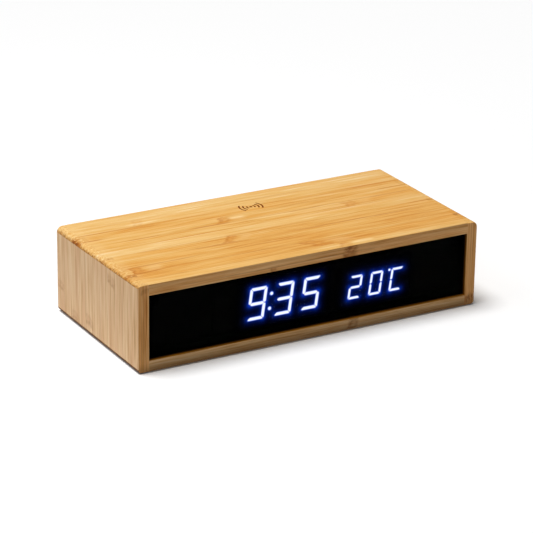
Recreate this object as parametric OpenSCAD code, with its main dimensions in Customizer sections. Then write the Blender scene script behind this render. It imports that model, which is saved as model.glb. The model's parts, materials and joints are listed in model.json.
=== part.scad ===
// Box alarm clock in bamboo: lit digits behind a dark front panel, a charging coil under the top
// board, and a rear panel with keys, a charging inlet and a coin cell door.
// Millimetres. +X is right as seen from the front, +Y is to the back, +Z is up.
// The origin lies on the table, under the middle of the case.

/* [Case] */
// Overall width of the case
case_w = 190; // [182:1:240]
// Overall depth of the case
case_d = 90; // [84:1:140]
// Height of the case without its feet
case_h = 44.5; // [42:0.5:60]
// Thickness of the boards
board_t = 5.7; // [5:0.1:7]
// Rounding of the two upper long edges
edge_r = 3; // [1:0.1:4]
// Rounding of the two lower long edges
under_edge_r = 1.8; // [0.5:0.1:4]
// Diameter of the dowels in the corner joints
dowel_d = 3; // [2:0.1:3.4]
// Length of a dowel
dowel_l = 12; // [8:0.5:16]
// Depth of a dowel in the side board
dowel_bite = 3.5; // [2:0.1:4]
// Distance of a dowel from the middle of the case's depth
dowel_y = 25; // [10:1:34]
// Width of the glue blocks that take the panel screws
post_w = 10; // [9:0.5:13]
// Depth of the glue blocks
post_d = 12; // [11:0.5:16]

/* [Feet] */
// Diameter of a foot
foot_d = 12; // [8:0.5:16]
// Height of a foot
foot_h = 0.5; // [0.4:0.1:3]
// Distance of a foot's centre from the outside of the case
foot_inset = 14; // [9:0.5:25]

/* [Burnt mark on the top] */
// Right of the middle of the case
mark_x = 4.2; // [-20:0.1:20]
// Behind the middle of the case
mark_y = 25.4; // [-30:0.1:34]
// Radius of the innermost arc
mark_r = 2.1; // [1.5:0.1:3]
// Step from arc to arc
mark_step = 2; // [1.5:0.05:2.5]
// Width of an arc's line
mark_line = 0.8; // [0.4:0.05:1.2]
// Half of the angle that an arc spans
mark_angle = 38.5; // [20:0.5:60]
// Radius of the dot in the middle
mark_dot_r = 0.8; // [0.3:0.05:1]
// Depth of the burnt line
mark_depth = 0.15; // [0.05:0.05:0.5]

/* [Front] */
// Depth of the front panel behind the front edges of the boards
front_recess = 2.3; // [0.5:0.1:4]
// Thickness of the front panel
panel_t = 2; // [1.5:0.1:4]
// Clearance of the panels to the boards
panel_gap = 0.2; // [0.1:0.05:0.5]
// Thickness of the tape that holds the front panel
tape_t = 0.3; // [0.2:0.05:1]
// Width of the tape
tape_w = 3; // [2:0.1:4]
// Thickness of the display frame
frame_t = 4; // [3:0.1:5.5]

/* [Digits] */
// Height of the time digits
time_h = 17; // [14:0.1:19]
// Width of the time digits
time_w = 9.8; // [8:0.1:11]
// Stroke of the time digits
time_stroke = 1.85; // [1.3:0.05:2]
// Distance from time digit to time digit
time_pitch = 15; // [14.5:0.1:16]
// Middle of the first time digit
time_x = -43.7; // [-46:0.1:-43]
// Height of the temperature digits
temp_h = 12.4; // [10:0.1:15]
// Width of the temperature digits
temp_w = 7.3; // [6:0.1:8]
// Stroke of the temperature digits
temp_stroke = 1.4; // [1.2:0.05:1.6]
// Distance from temperature digit to temperature digit
temp_pitch = 11.9; // [11:0.1:13]
// Middle of the first temperature digit
temp_x = 26.7; // [26:0.1:30]
// Slant of all digits in degrees
slant = 7.9; // [0:0.1:10]
// Fall of the time digits' middle below the case's middle
digit_drop = 0.4; // [0:0.1:2]
// Rise of the temperature digits' foot above the time digits' foot
temp_lift = 0.6; // [0:0.1:1.5]
// Half of the gap between neighbouring segments
segment_gap = 0.15; // [0.1:0.05:0.3]
// Depth of the clear resin in a segment's window
segment_t = 2; // [1:0.1:4]
// Radius of the two dots of the time
colon_r = 1.1; // [0.8:0.05:1.4]
// Radius of the degree dot
degree_r = 0.8; // [0.5:0.05:0.9]

/* [Display module] */
// Rim of the reflector block beside the digits
reflector_rim = 3.5; // [2.5:0.1:4]
// Gap between the reflector block and the bottom board
reflector_floor = 4.15; // [2.5:0.05:5]
// Gap between the reflector block and the top board
reflector_head = 4.95; // [3:0.05:6]
// Depth of the reflector block
reflector_d = 8; // [7:0.1:10]
// Clearance of the reflector block in its window
reflector_gap = 0.2; // [0.1:0.05:0.4]
// Thickness of all circuit boards
pcb_t = 1.6; // [1:0.1:2]
// Reach of the display board past the reflector at each end
display_pcb_end = 9; // [8:0.5:12]
// Width, and height, of a light-emitting chip
led_w = 1; // [0.6:0.05:1.1]
// Thickness of a light-emitting chip
led_t = 0.6; // [0.4:0.05:1]

/* [Rear panel] */
// Depth of the rear panel in front of the rear edges of the boards
rear_recess = 2; // [1.9:0.1:4]
// Thickness of the rear panel
rear_t = 2.5; // [2:0.1:3.5]
// Diameter of the bosses that carry the boards
boss_d = 6; // [5:0.1:7]
// Height of the main board
main_pcb_h = 26; // [25:0.5:28]
// Gap between the main board's ends and the glue blocks
main_pcb_side = 5; // [1:0.5:6]

/* [Keys] */
// Diameter of a key
key_d = 6.4; // [5:0.1:8]
// Distance from key to key
key_pitch = 14; // [11:0.5:14.5]
// Middle of the row of keys
key_x = -1; // [-3:0.5:1]
// Height of the row of keys above the case's middle
key_z = 5; // [4.5:0.1:6]
// How far a key stands out of the rear panel
key_out = 1.2; // [0.8:0.1:1.8]
// Travel of a key
key_travel = 0.5; // [0.2:0.05:0.6]
// Clearance round a key
key_gap = 0.2; // [0.1:0.05:0.4]
// Reach of a key's inner lip
key_lip = 1.2; // [0.8:0.1:1.5]
// Width of a switch
switch_w = 6; // [5:0.1:7]
// Height of a switch
switch_h = 3.5; // [3:0.1:4]
// Diameter of a switch plunger
plunger_d = 3.4; // [2.5:0.1:4]
// How far a plunger stands out of its switch
plunger_out = 1; // [0.8:0.1:1.2]
// Clearance of a plunger in its switch
plunger_gap = 0.1; // [0.05:0.01:0.15]

/* [Coin cell] */
// Diameter of the coin cell
cell_d = 20; // [16:0.1:20.5]
// Thickness of the coin cell
cell_t = 3.2; // [2:0.1:3.6]
// Place of the coin cell to the right of the middle
cell_x = 50; // [47:0.5:52]
// Wall of the cell holder
holder_wall = 1.2; // [0.8:0.1:1.5]
// Base of the cell holder
holder_base = 1; // [0.6:0.1:2]
// Thickness of the sheet metal contact
contact_t = 0.3; // [0.2:0.05:0.4]
// Width of the contact
contact_w = 4; // [2:0.5:6]
// Clearance of the door in the rear panel
door_gap = 0.25; // [0.2:0.05:0.4]
// Thickness of the door's outer disc and depth of its seat
door_cover_t = 1; // [0.8:0.1:1.2]
// Reach of the door's lugs behind the panel
door_lug = 1.5; // [1:0.1:2]
// Thickness of the lugs
door_lug_t = 1.3; // [1:0.1:2]
// Angle that one lug spans
door_lug_angle = 30; // [20:1:40]
// Turn from locked to free, in degrees
door_turn = 50; // [45:1:80]
// Length of the slot for a coin
coin_slot_l = 15; // [10:0.5:18]
// Width of the slot for a coin
coin_slot_w = 2; // [1.5:0.1:3]
// Depth of the slot for a coin
coin_slot_d = 1.2; // [0.6:0.1:1.6]

/* [Charging inlet] */
// Outer width of the inlet's shell
usb_w = 8.94; // [8.9:0.01:9]
// Outer height of the shell
usb_h = 3.26; // [3.2:0.01:3.3]
// Wall of the shell
usb_wall = 0.3; // [0.2:0.05:0.4]
// Place of the inlet to the right of the middle
usb_x = -45; // [-47:0.5:-40]
// Depth of the shell's mouth below the rear panel's face
usb_sink = 0.4; // [0.2:0.1:1]
// Clearance round the shell in the rear panel
usb_gap = 0.3; // [0.2:0.05:0.5]
// Width of the tongue in the shell
tongue_w = 6.7; // [6:0.1:7]
// Thickness of the tongue
tongue_t = 0.7; // [0.5:0.05:0.8]
// Depth of the tongue's tip behind the shell's mouth
tongue_sink = 1.2; // [0.8:0.1:2]

/* [Sound and air] */
// Diameter of the buzzer
buzzer_d = 9.6; // [8:0.1:10]
// Fall of the buzzer's middle below the case's middle
buzzer_drop = 8; // [7:0.1:8]
// Gap between the buzzer and the rear panel
buzzer_gap = 1.5; // [0.5:0.1:2]
// Diameter of a sound hole
sound_d = 1.4; // [0.8:0.1:2]
// Radius of the ring of sound holes
sound_ring = 3; // [2.5:0.1:3.5]
// Middle of the vent slots
vent_x = -60; // [-61:0.5:-59]
// Distance from slot to slot
vent_pitch = 3; // [2.5:0.1:3.2]
// Length of a slot
vent_l = 9; // [6:0.5:12]
// Width of a slot
vent_w = 1.4; // [1:0.1:1.8]
// Diameter of the temperature sensor's bead
sensor_d = 2.4; // [1.6:0.1:3]

/* [Charging coil] */
// Radius of the coil's first turn
coil_r = 10.5; // [10:0.1:12]
// Turns of the coil
coil_turns = 10; // [8:1:11]
// Distance from turn to turn
coil_pitch = 1.15; // [1.15:0.01:1.2]
// Width of the wire
wire_w = 0.7; // [0.5:0.05:0.7]
// Height of the wire
wire_h = 1; // [0.6:0.1:1.2]
// Rim of the ferrite disc round the coil
ferrite_rim = 2.5; // [1:0.1:3]
// Thickness of the ferrite disc
ferrite_t = 1; // [0.6:0.1:1.2]
// Clearance of the ferrite disc in the pocket of the top board
pocket_gap = 1.5; // [0.5:0.1:2]
// Clearance of the coil below the pocket's ceiling
coil_gap = 0.1; // [0.1:0.05:0.4]
// Rise of the coil carrier into the pocket
carrier_rise = 0.9; // [0.5:0.1:1]
// Thickness of the coil carrier's flange
carrier_t = 1.5; // [1:0.1:2]
// Rim of the carrier round the pocket
carrier_rim = 5; // [4.5:0.1:6]
// Diameter of the coil's and the charger's leads
lead_d = 1; // [0.8:0.1:1.2]
// Width of the slot for the coil's leads
lead_slot = 2.4; // [2:0.1:3]

/* [Charger board] */
// Width of the charger board
charger_w = 46; // [44:0.5:48]
// Depth of the charger board
charger_d = 34; // [32:0.5:38]
// Place of the charger board to the right of the middle
charger_x = -30; // [-32:0.5:-29]
// Height of the spacers below the charger board
spacer_h = 3; // [2:0.1:6]
// Diameter of a spacer
spacer_d = 5; // [4:0.1:6]

/* [Screws] */
// Shank of the panel screws
screw_d = 2.5; // [2:0.1:3]
// Head of the panel screws
screw_head_d = 5; // [4:0.1:5.5]
// Height of the panel screws' heads
screw_head_h = 1.6; // [1.2:0.1:1.8]
// Length of the panel screws below the head
screw_l = 9; // [7:0.5:10]
// Shank of the board screws
small_screw_d = 2; // [1.6:0.1:2.2]
// Head of the board screws
small_head_d = 3.8; // [3.2:0.1:4]
// Height of the board screws' heads
small_head_h = 1.3; // [1:0.1:1.4]
// Length of the board screws below the head
small_screw_l = 5; // [4:0.1:5.4]
// Clearance of a screw or a dowel in its hole
hole_gap = 0.05; // [0.02:0.01:0.1]
// Clearance of a screw in the piece that it clamps
pass_gap = 0.2; // [0.1:0.05:0.3]

/* [Hidden] */
$fn = 48;

// Cuts run this far past the face that they open
over = 0.5;
// Two sides, as signs
sides = [-1, 1];

// Inside of the case
inner_w = case_w - 2 * board_t;
inner_h = case_h - 2 * board_t;
case_z0 = foot_h;
case_z1 = foot_h + case_h;
inner_z0 = case_z0 + board_t;
inner_z1 = case_z1 - board_t;
mid_z = (case_z0 + case_z1) / 2;
front_y = -case_d / 2;
back_y = case_d / 2;

// Corner joints
dowel_end_gap = 0.5;
dowel_hole_d = dowel_d + 2 * hole_gap;
dowel_zs = [case_z0 + board_t / 2, case_z1 - board_t / 2];

// Front stack, from the panel's face to the back of the display board
panel_y0 = front_y + front_recess;
panel_y1 = panel_y0 + panel_t;
frame_y0 = panel_y1 + tape_t;
frame_y1 = frame_y0 + frame_t;
reflector_y1 = frame_y0 + reflector_d;
display_y0 = reflector_y1;
display_y1 = display_y0 + pcb_t;
panel_w = inner_w - 2 * panel_gap;
panel_h = inner_h - 2 * panel_gap;

// Digits: hour tens is dark, then 9, 3 and 5, and 2, 0 and C
time_z = mid_z - digit_drop;
temp_z = time_z - time_h / 2 + temp_lift + temp_h / 2;
time_lit = [[], [0, 1, 2, 3, 5, 6], [0, 1, 2, 3, 6], [0, 2, 3, 5, 6]];
temp_lit = [[0, 1, 3, 4, 6], [0, 1, 2, 3, 4, 5], [0, 3, 4, 5]];
segments = [0, 1, 2, 3, 4, 5, 6];
time_digits = [
    for (i = [0:3]) [time_x + i * time_pitch, time_z, time_w, time_h, time_stroke, time_lit[i]]
];
temp_digits = [
    for (i = [0:2]) [temp_x + i * temp_pitch, temp_z, temp_w, temp_h, temp_stroke, temp_lit[i]]
];
digits = concat(time_digits, temp_digits);

// Dots as x, z and radius: two between the hours and the minutes, one beside the C
colon_share = 0.225;
colon_rise = time_h * colon_share;
degree_out = 0.4;
degree_fall = 0.7;
degree_side = temp_w / 2 + degree_out;
degree_rise = temp_h / 2 - degree_fall;
dots = [
    [time_x + 1.5 * time_pitch + lean(colon_rise), time_z + colon_rise, colon_r],
    [time_x + 1.5 * time_pitch - lean(colon_rise), time_z - colon_rise, colon_r],
    [temp_x + 2 * temp_pitch - degree_side, temp_z + degree_rise, degree_r],
];

// Display module
reflector_x0 = time_x - time_w / 2 - lean(time_h / 2) - reflector_rim;
reflector_x1 = temp_x + 2 * temp_pitch + temp_w / 2 + lean(temp_h / 2) + reflector_rim;
reflector_z0 = inner_z0 + reflector_floor;
reflector_z1 = inner_z1 - reflector_head;
collar_t = 1.5;
display_lap = 0.8;
display_x0 = reflector_x0 - display_pcb_end;
display_x1 = reflector_x1 + display_pcb_end;
display_z0 = reflector_z0 - display_lap;
display_z1 = reflector_z1 + display_lap;
display_screw_inset = 4;
display_screw_at = [
    for (x = [display_x0 + display_screw_inset, display_x1 - display_screw_inset],
         z = [display_z0 + display_screw_inset, display_z1 - display_screw_inset]) [x, z]
];
frame_screw_at = [
    for (s = sides, z = [inner_z0 + post_w / 2, inner_z1 - post_w / 2])
        [s * (inner_w / 2 - post_w / 2), z]
];
head_sink = screw_head_h + 0.2;
driver_size = [10, 1.6, 5];
driver_x = -20;

// Rear stack, from the panel's outer face to the front of the main board
rear_y1 = back_y - rear_recess;
rear_y0 = rear_y1 - rear_t;
cell_air = 0.45;
board_room = holder_base + cell_t + contact_t + cell_air + door_lug_t + door_gap;
main_y1 = rear_y0 - board_room;
main_y0 = main_y1 - pcb_t;
main_w = inner_w - 2 * post_w - 2 * main_pcb_side;
main_screw_inset = 4;
main_screw_at = [
    for (s = sides, t = sides)
        [s * (main_w / 2 - main_screw_inset), mid_z + t * (main_pcb_h / 2 - main_screw_inset)]
];

// Keys, from the left as seen from behind
key_row_z = mid_z + key_z;
key_xs = [for (i = [0:3]) key_x + (1.5 - i) * key_pitch];
key_rest_gap = 0.2;
key_lip_y1 = rear_y0 - key_rest_gap;
key_lip_y0 = main_y1 + switch_h + plunger_out;
key_edge = 0.5;
plunger_in = 1;
plunger_y0 = main_y1 + switch_h - plunger_in;
plunger_room = 0.4;

// Coin cell and its door
cell_hole_gap = 0.8;
holder_gap = 0.2;
holder_r = cell_d / 2 + holder_gap + holder_wall;
holder_wall_h = 2.5;
cell_y0 = main_y1 + holder_base;
cell_y1 = cell_y0 + cell_t;
cell_hole_r = cell_d / 2 + cell_hole_gap;
door_neck_r = cell_hole_r - door_gap;
door_lug_r = door_neck_r + door_lug;
notch_r = door_lug_r + door_gap;
door_lap = 0.5;
door_cover_r = notch_r + door_lap;
door_seat_y = rear_y1 - door_cover_t;
door_seat_gap = 0.15;
door_lug_y1 = rear_y0 - door_gap;
door_lug_y0 = door_lug_y1 - door_lug_t;
notch_spare = 4;
contact_side_gap = 0.3;
contact_reach = 7;

// Sound holes, vent slots and sensor
buzzer_z = mid_z - buzzer_drop;
sound_holes = 6;
vent_slots = 4;
sensor_lead_d = 0.5;
sensor_lead_gap = 1;

// Small parts on the front of the main board
chip_size = [10, 1.5, 10];
chip_x = 6;
chip_drop = 2;
chip_at = [chip_x, mid_z - chip_drop];
crystal_d = 3;
crystal_l = 8;
crystal_x = -8;
crystal_rise = 8;
crystal_at = [crystal_x, mid_z + crystal_rise];
crystal_gap = 0.1;
capacitor_d = 6.3;
capacitor_l = 7;
capacitor_x = -22;
capacitor_pitch = 8;
capacitor_drop = 6;
capacitor_at = [for (i = [0, 1]) [capacitor_x - i * capacitor_pitch, mid_z - capacitor_drop]];

// Ribbon between the boards
ribbon_x = 34;
ribbon_w = 12;
ribbon_t = 0.3;
ribbon_sag = 4;
ribbon_steps = 12;
ribbon_socket = [14, 3, 5];
ribbon_y0 = display_y1 + ribbon_socket[1];
ribbon_y1 = main_y0 - ribbon_socket[1];

// Charging coil under the top board
coil_out_r = coil_r + coil_turns * coil_pitch;
coil_steps = 24;
ferrite_r = coil_out_r + wire_w / 2 + ferrite_rim;
pocket_r = ferrite_r + pocket_gap;
pocket_z = inner_z1 + carrier_rise + ferrite_t + wire_h + coil_gap;
ferrite_z0 = inner_z1 + carrier_rise;
coil_z0 = ferrite_z0 + ferrite_t;
carrier_r = pocket_r + carrier_rim;
carrier_z0 = inner_z1 - carrier_t;
carrier_screw_r = pocket_r + carrier_rim / 2;
carrier_screw_at = [for (a = [45:90:315]) carrier_screw_r * [cos(a), sin(a)]];
lead_slot_x0 = -coil_out_r - lead_slot / 2;
lead_slot_x1 = -coil_r + lead_slot / 2;

// Charger board on the bottom board
charger_z0 = inner_z0 + spacer_h;
charger_z1 = charger_z0 + pcb_t;
charger_screw_inset = 3.5;
charger_screw_at = [
    for (s = sides, t = sides)
        [charger_x + s * (charger_w / 2 - charger_screw_inset), t * (charger_d / 2 - charger_screw_inset)]
];
charger_screw_bite = 3;
charger_screw_l = pcb_t + spacer_h + charger_screw_bite;
charger_chip_size = [5, 5, 0.9];
charger_chip_side = 6;
charger_chip_y = -3;
charger_chip_at = [charger_x - charger_chip_side, charger_chip_y];
charger_cap_size = [5.7, 5, 2.5];
charger_cap_pitch = 8;
charger_cap_y = -11;

// Leads: the coil's two go down to the charger board, the other two carry power to it
lead_sides = 8;
lead_rings = 12;
lead_bow = 9;
coil_lead_y = 6;
power_side = 12;
power_x = charger_x - power_side;
power_socket = [6, 4.5, 5];
power_pitch = 2.5;
power_reach = 4;
power_drop = 6;
power_edge = 1;
power_main_z = mid_z - power_drop;
power_main_y = main_y0 - power_socket[2];
power_charger_y = charger_d / 2 - power_edge;
power_charger_z = charger_z1 + power_socket[1] / 2;

// Cross recess of the screw heads
drive_l = 0.55;
drive_w = 0.14;
drive_depth = 0.5;

bamboo = [0.87, 0.69, 0.43];
board_green = [0.08, 0.32, 0.2];

// Sideways shift of the slanted digits at a height above their middle
function lean(rise) = rise * tan(slant);

// One digit segment, counted a to g, in a digit of width w, height h and stroke s
function segment_points(k, w, h, s) =
    let (cut = s / 2, gap = segment_gap, x = w / 2, y = h / 2)
    let (bar = [
        [-x + cut, y], [x - cut, y], [x - cut / 2 - gap, y - cut / 2],
        [x - s - gap, y - s], [-x + s + gap, y - s], [-x + cut / 2 + gap, y - cut / 2]
    ])
    let (post = [
        [x, y - cut], [x - cut / 2, y - cut / 2 - gap], [x - s, y - s - gap],
        [x - s, s / 2 + gap], [x - s / 2, gap], [x, s / 4 + gap]
    ])
    let (middle = [
        [-x + s / 2 + gap, 0], [-x + s + gap, s / 2], [x - s - gap, s / 2],
        [x - s / 2 - gap, 0], [x - s - gap, -s / 2], [-x + s + gap, -s / 2]
    ])
    let (shape = k == 6 ? middle : (k == 0 || k == 3) ? bar : post)
    let (flip_x = (k == 4 || k == 5) ? -1 : 1, flip_y = (k == 2 || k == 3 || k == 4) ? -1 : 1)
    [for (p = shape) [flip_x * p[0] + lean(flip_y * p[1]), flip_y * p[1]]];

// Middle of a list of points
function middle_of(points) = [for (p = points) 1] * points / len(points);

// Whether a segment is among those that are lit
function is_lit(digit, k) = len(search(k, digit[5])) > 0;

// Point on a curve from a to d that leaves along b and arrives along c, and its direction
function curve(a, b, c, d, t) =
    pow(1 - t, 3) * a + 3 * pow(1 - t, 2) * t * b + 3 * (1 - t) * t * t * c + pow(t, 3) * d;
function heading(a, b, c, d, t) =
    let (v = pow(1 - t, 2) * (b - a) + 2 * (1 - t) * t * (c - b) + t * t * (d - c)) v / norm(v);

// Points along one edge of the coil's flat wire
function coil_edge(shift) = [
    for (i = [0:coil_turns * coil_steps])
        let (r = coil_r + coil_pitch * i / coil_steps + shift, a = 180 + 360 * i / coil_steps)
        r * [cos(a), sin(a)]
];
coil_inside = coil_edge(-wire_w / 2);
coil_outside = coil_edge(wire_w / 2);
coil_turn_gap = min([
    for (i = [0:(coil_turns - 1) * coil_steps]) norm(coil_inside[i + coil_steps] - coil_outside[i])
]);
echo("least gap between the coil's turns", coil_turn_gap);

// Flat shapes drawn on X and Z, or on Y and Z, or on X and Y, and thickened along the third axis
module slab_y(y0, y1) {
    translate([0, y1, 0]) rotate([90, 0, 0]) linear_extrude(y1 - y0) children();
}
module slab_x(x0, x1) {
    translate([x0, 0, 0]) rotate([90, 0, 90]) linear_extrude(x1 - x0) children();
}
module slab_z(z0, z1) {
    translate([0, 0, z0]) linear_extrude(z1 - z0) children();
}
module plate(x0, x1, y0, y1) {
    translate([x0, y0]) square([x1 - x0, y1 - y0]);
}
module disc(at, r) {
    translate(at) circle(r);
}
module stadium(at, w, h) {
    reach = abs(w - h) / 2;
    r = min(w, h) / 2;
    along = w > h ? [1, 0] : [0, 1];
    for (s = sides) translate(at + s * reach * along) circle(r);
    translate(at) square([w > h ? w - h : w, w > h ? h : h - w], center = true);
}
module wedge(angle) {
    far = case_d;
    polygon([[0, 0], [far, -far * tan(angle / 2)], [far, far * tan(angle / 2)]]);
}
module box(at, size) {
    translate([at[0] - size[0] / 2, at[1] - size[1] / 2, at[2]]) cube(size);
}

// Pan head screw that points down from z = 0, with a cross recess
module screw(head_d, head_h, shank_d, shank_l) {
    difference() {
        cylinder(d = head_d, h = head_h);
        for (turn = [0, 90]) rotate(turn)
            translate([-head_d * drive_l / 2, -head_d * drive_w / 2, head_h - drive_depth])
                cube([head_d * drive_l, head_d * drive_w, drive_depth + over]);
    }
    translate([0, 0, -shank_l]) cylinder(d = shank_d, h = shank_l);
}
module panel_screw() {
    screw(screw_head_d, screw_head_h, screw_d, screw_l);
}
module board_screw(l = small_screw_l) {
    screw(small_head_d, small_head_h, small_screw_d, l);
}

// Flexible lead in a plane of constant X, round, along a curve
module lead(a, b, c, d) {
    n = lead_sides;
    rings = [
        for (j = [0:lead_rings])
            let (t = j / lead_rings, p = curve(a, b, c, d, t), v = heading(a, b, c, d, t))
            let (across = [1, 0, 0], up = cross(v, across))
            [for (i = [0:n - 1]) p + lead_d / 2 * (cos(360 * i / n) * across + sin(360 * i / n) * up)]
    ];
    points = [for (ring = rings) for (p = ring) p];
    first = [for (i = [n - 1:-1:0]) i];
    last = [for (i = [0:n - 1]) lead_rings * n + i];
    walls = [
        for (j = [0:lead_rings - 1], i = [0:n - 1], half = [0, 1])
            let (p = j * n + i, q = j * n + (i + 1) % n)
            half == 0 ? [p, q, q + n] : [p, q + n, p + n]
    ];
    polyhedron(points, concat([first], walls, [last]));
}

// Outline of the case seen from the front, with its rounded corners
module case_outline() {
    for (s = sides) {
        disc([s * (case_w / 2 - edge_r), case_z1 - edge_r], edge_r);
        disc([s * (case_w / 2 - under_edge_r), case_z0 + under_edge_r], under_edge_r);
    }
    plate(-case_w / 2 + edge_r, case_w / 2 - edge_r, mid_z, case_z1);
    plate(-case_w / 2 + under_edge_r, case_w / 2 - under_edge_r, case_z0, mid_z);
    plate(-case_w / 2, case_w / 2, case_z0 + under_edge_r, case_z1 - edge_r);
}

// Dowels, or with a clearance their holes
module dowels(d, spare) {
    for (s = sides, y = sides * dowel_y, z = dowel_zs)
        translate([s * (inner_w / 2 + dowel_bite + spare), y, z]) rotate([0, -90 * s, 0])
            cylinder(d = d, h = dowel_l + 2 * spare);
}
module dowel_holes() {
    dowels(dowel_hole_d, dowel_end_gap);
}

// Generic pictogram of waves: a dot between two sets of arcs
module wave_mark() {
    translate([mark_x, mark_y]) {
        circle(mark_dot_r);
        for (turn = [0, 180], i = [0:2]) rotate(turn) intersection() {
            difference() {
                circle(mark_r + i * mark_step + mark_line / 2);
                circle(mark_r + i * mark_step - mark_line / 2);
            }
            wedge(2 * mark_angle);
        }
    }
}

module top_board() {
    color(bamboo) difference() {
        slab_y(front_y, back_y) plate(-inner_w / 2, inner_w / 2, inner_z1, case_z1);
        slab_z(inner_z1 - over, pocket_z) circle(pocket_r);
        slab_z(inner_z1 - over, inner_z1 + small_screw_l)
            for (at = carrier_screw_at) disc(at, small_screw_d / 2 + hole_gap);
        slab_z(case_z1 - mark_depth, case_z1 + over) wave_mark();
        dowel_holes();
    }
}
module bottom_board() {
    pilot_z = charger_z1 - charger_screw_l - dowel_end_gap;
    color(bamboo) difference() {
        slab_y(front_y, back_y) plate(-inner_w / 2, inner_w / 2, case_z0, inner_z0);
        slab_z(pilot_z, inner_z0 + over)
            for (at = charger_screw_at) disc(at, small_screw_d / 2 + hole_gap);
        dowel_holes();
    }
}
module side_board(s) {
    color(bamboo) difference() {
        slab_y(front_y, back_y) intersection() {
            case_outline();
            translate([s * (inner_w / 2 + board_t / 2), mid_z]) square([board_t, case_h], center = true);
        }
        dowel_holes();
    }
}
module left_side() {
    side_board(-1);
}
module right_side() {
    side_board(1);
}
module case_dowels() {
    color("tan") dowels(dowel_d, 0);
}

// Upright glue block in a corner, drilled from the face that a panel is screwed to
module post(s, y0, y1, drill_y0, drill_y1) {
    color("tan") difference() {
        slab_y(y0, y1)
            translate([s * (inner_w / 2 - post_w / 2), mid_z]) square([post_w, inner_h], center = true);
        slab_y(drill_y0, drill_y1)
            for (at = frame_screw_at) disc(at, screw_d / 2 + hole_gap);
    }
}
module front_post(s) {
    drill_y1 = frame_y0 + head_sink + screw_l + dowel_end_gap;
    post(s, frame_y1, frame_y1 + post_d, frame_y1 - over, drill_y1);
}
module rear_post(s) {
    drill_y0 = rear_y1 - screw_l - dowel_end_gap;
    post(s, rear_y0 - post_d, rear_y0, drill_y0, rear_y0 + over);
}
module left_front_post() {
    front_post(-1);
}
module right_front_post() {
    front_post(1);
}
module left_rear_post() {
    rear_post(-1);
}
module right_rear_post() {
    rear_post(1);
}

module feet() {
    color([0.08, 0.08, 0.08]) slab_z(0, foot_h)
        for (s = sides, t = sides)
            disc([s * (case_w / 2 - foot_inset), t * (case_d / 2 - foot_inset)], foot_d / 2);
}

// Rectangle that fills the case's opening but for a clearance
module opening_plate() {
    translate([0, mid_z]) square([panel_w, panel_h], center = true);
}
module front_panel() {
    color([0.03, 0.03, 0.04]) slab_y(panel_y0, panel_y1) opening_plate();
}
module panel_tape() {
    color([0.15, 0.15, 0.15]) slab_y(panel_y1, frame_y0) difference() {
        opening_plate();
        translate([0, mid_z]) square([panel_w - 2 * tape_w, panel_h - 2 * tape_w], center = true);
    }
}

// Outline of the reflector block, grown by a margin
module reflector_outline(grow) {
    plate(reflector_x0 - grow, reflector_x1 + grow, reflector_z0 - grow, reflector_z1 + grow);
}
module display_frame() {
    color([0.1, 0.1, 0.1]) difference() {
        union() {
            slab_y(frame_y0, frame_y1) opening_plate();
            slab_y(frame_y1, display_y0) {
                for (at = display_screw_at) disc(at, boss_d / 2);
                difference() {
                    reflector_outline(reflector_gap + collar_t);
                    reflector_outline(reflector_gap);
                }
            }
        }
        slab_y(frame_y0 - over, frame_y1 + over) reflector_outline(reflector_gap);
        slab_y(frame_y0 - over, frame_y0 + head_sink)
            for (at = frame_screw_at) disc(at, screw_head_d / 2 + pass_gap);
        slab_y(frame_y0, frame_y1 + over)
            for (at = frame_screw_at) disc(at, screw_d / 2 + pass_gap);
        slab_y(display_y1 - small_screw_l - over, display_y0 + over)
            for (at = display_screw_at) disc(at, small_screw_d / 2 + hole_gap);
    }
}
module frame_screws() {
    color("silver") for (at = frame_screw_at)
        translate([at[0], frame_y0 + head_sink, at[1]]) rotate([90, 0, 0]) panel_screw();
}

// Segments of all digits: the lit ones, or the dark ones
module digit_segments(lit) {
    for (digit = digits, k = segments)
        if (is_lit(digit, k) == lit)
            translate([digit[0], digit[1]]) polygon(segment_points(k, digit[2], digit[3], digit[4]));
}
module dot_segments(spare) {
    for (dot = dots) disc([dot[0], dot[1]], dot[2] - spare);
}
module reflector() {
    color([0.05, 0.05, 0.05]) slab_y(frame_y0, reflector_y1) difference() {
        reflector_outline(0);
        digit_segments(true);
        digit_segments(false);
        dot_segments(0);
    }
}
module lit_segments() {
    color([0.85, 0.9, 1]) slab_y(frame_y0, frame_y0 + segment_t) {
        digit_segments(true);
        dot_segments(hole_gap);
    }
}
module unlit_segments() {
    color([0.25, 0.25, 0.28]) slab_y(frame_y0, frame_y0 + segment_t) digit_segments(false);
}
module segment_leds() {
    color([0.9, 0.9, 0.75]) slab_y(display_y0 - led_t, display_y0) {
        for (digit = digits, k = segments)
            translate([digit[0], digit[1]] + middle_of(segment_points(k, digit[2], digit[3], digit[4])))
                square(led_w, center = true);
        for (dot = dots) translate([dot[0], dot[1]]) square(led_w, center = true);
    }
}
module display_pcb() {
    color(board_green) slab_y(display_y0, display_y1) difference() {
        plate(display_x0, display_x1, display_z0, display_z1);
        for (at = display_screw_at) disc(at, small_screw_d / 2 + pass_gap);
    }
}
module display_driver() {
    color([0.06, 0.06, 0.06])
        box([driver_x, display_y1 + driver_size[1] / 2, time_z - driver_size[2] / 2], driver_size);
}
module display_screws() {
    color("silver") for (at = display_screw_at)
        translate([at[0], display_y1, at[1]]) rotate([-90, 0, 0]) board_screw();
}

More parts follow.
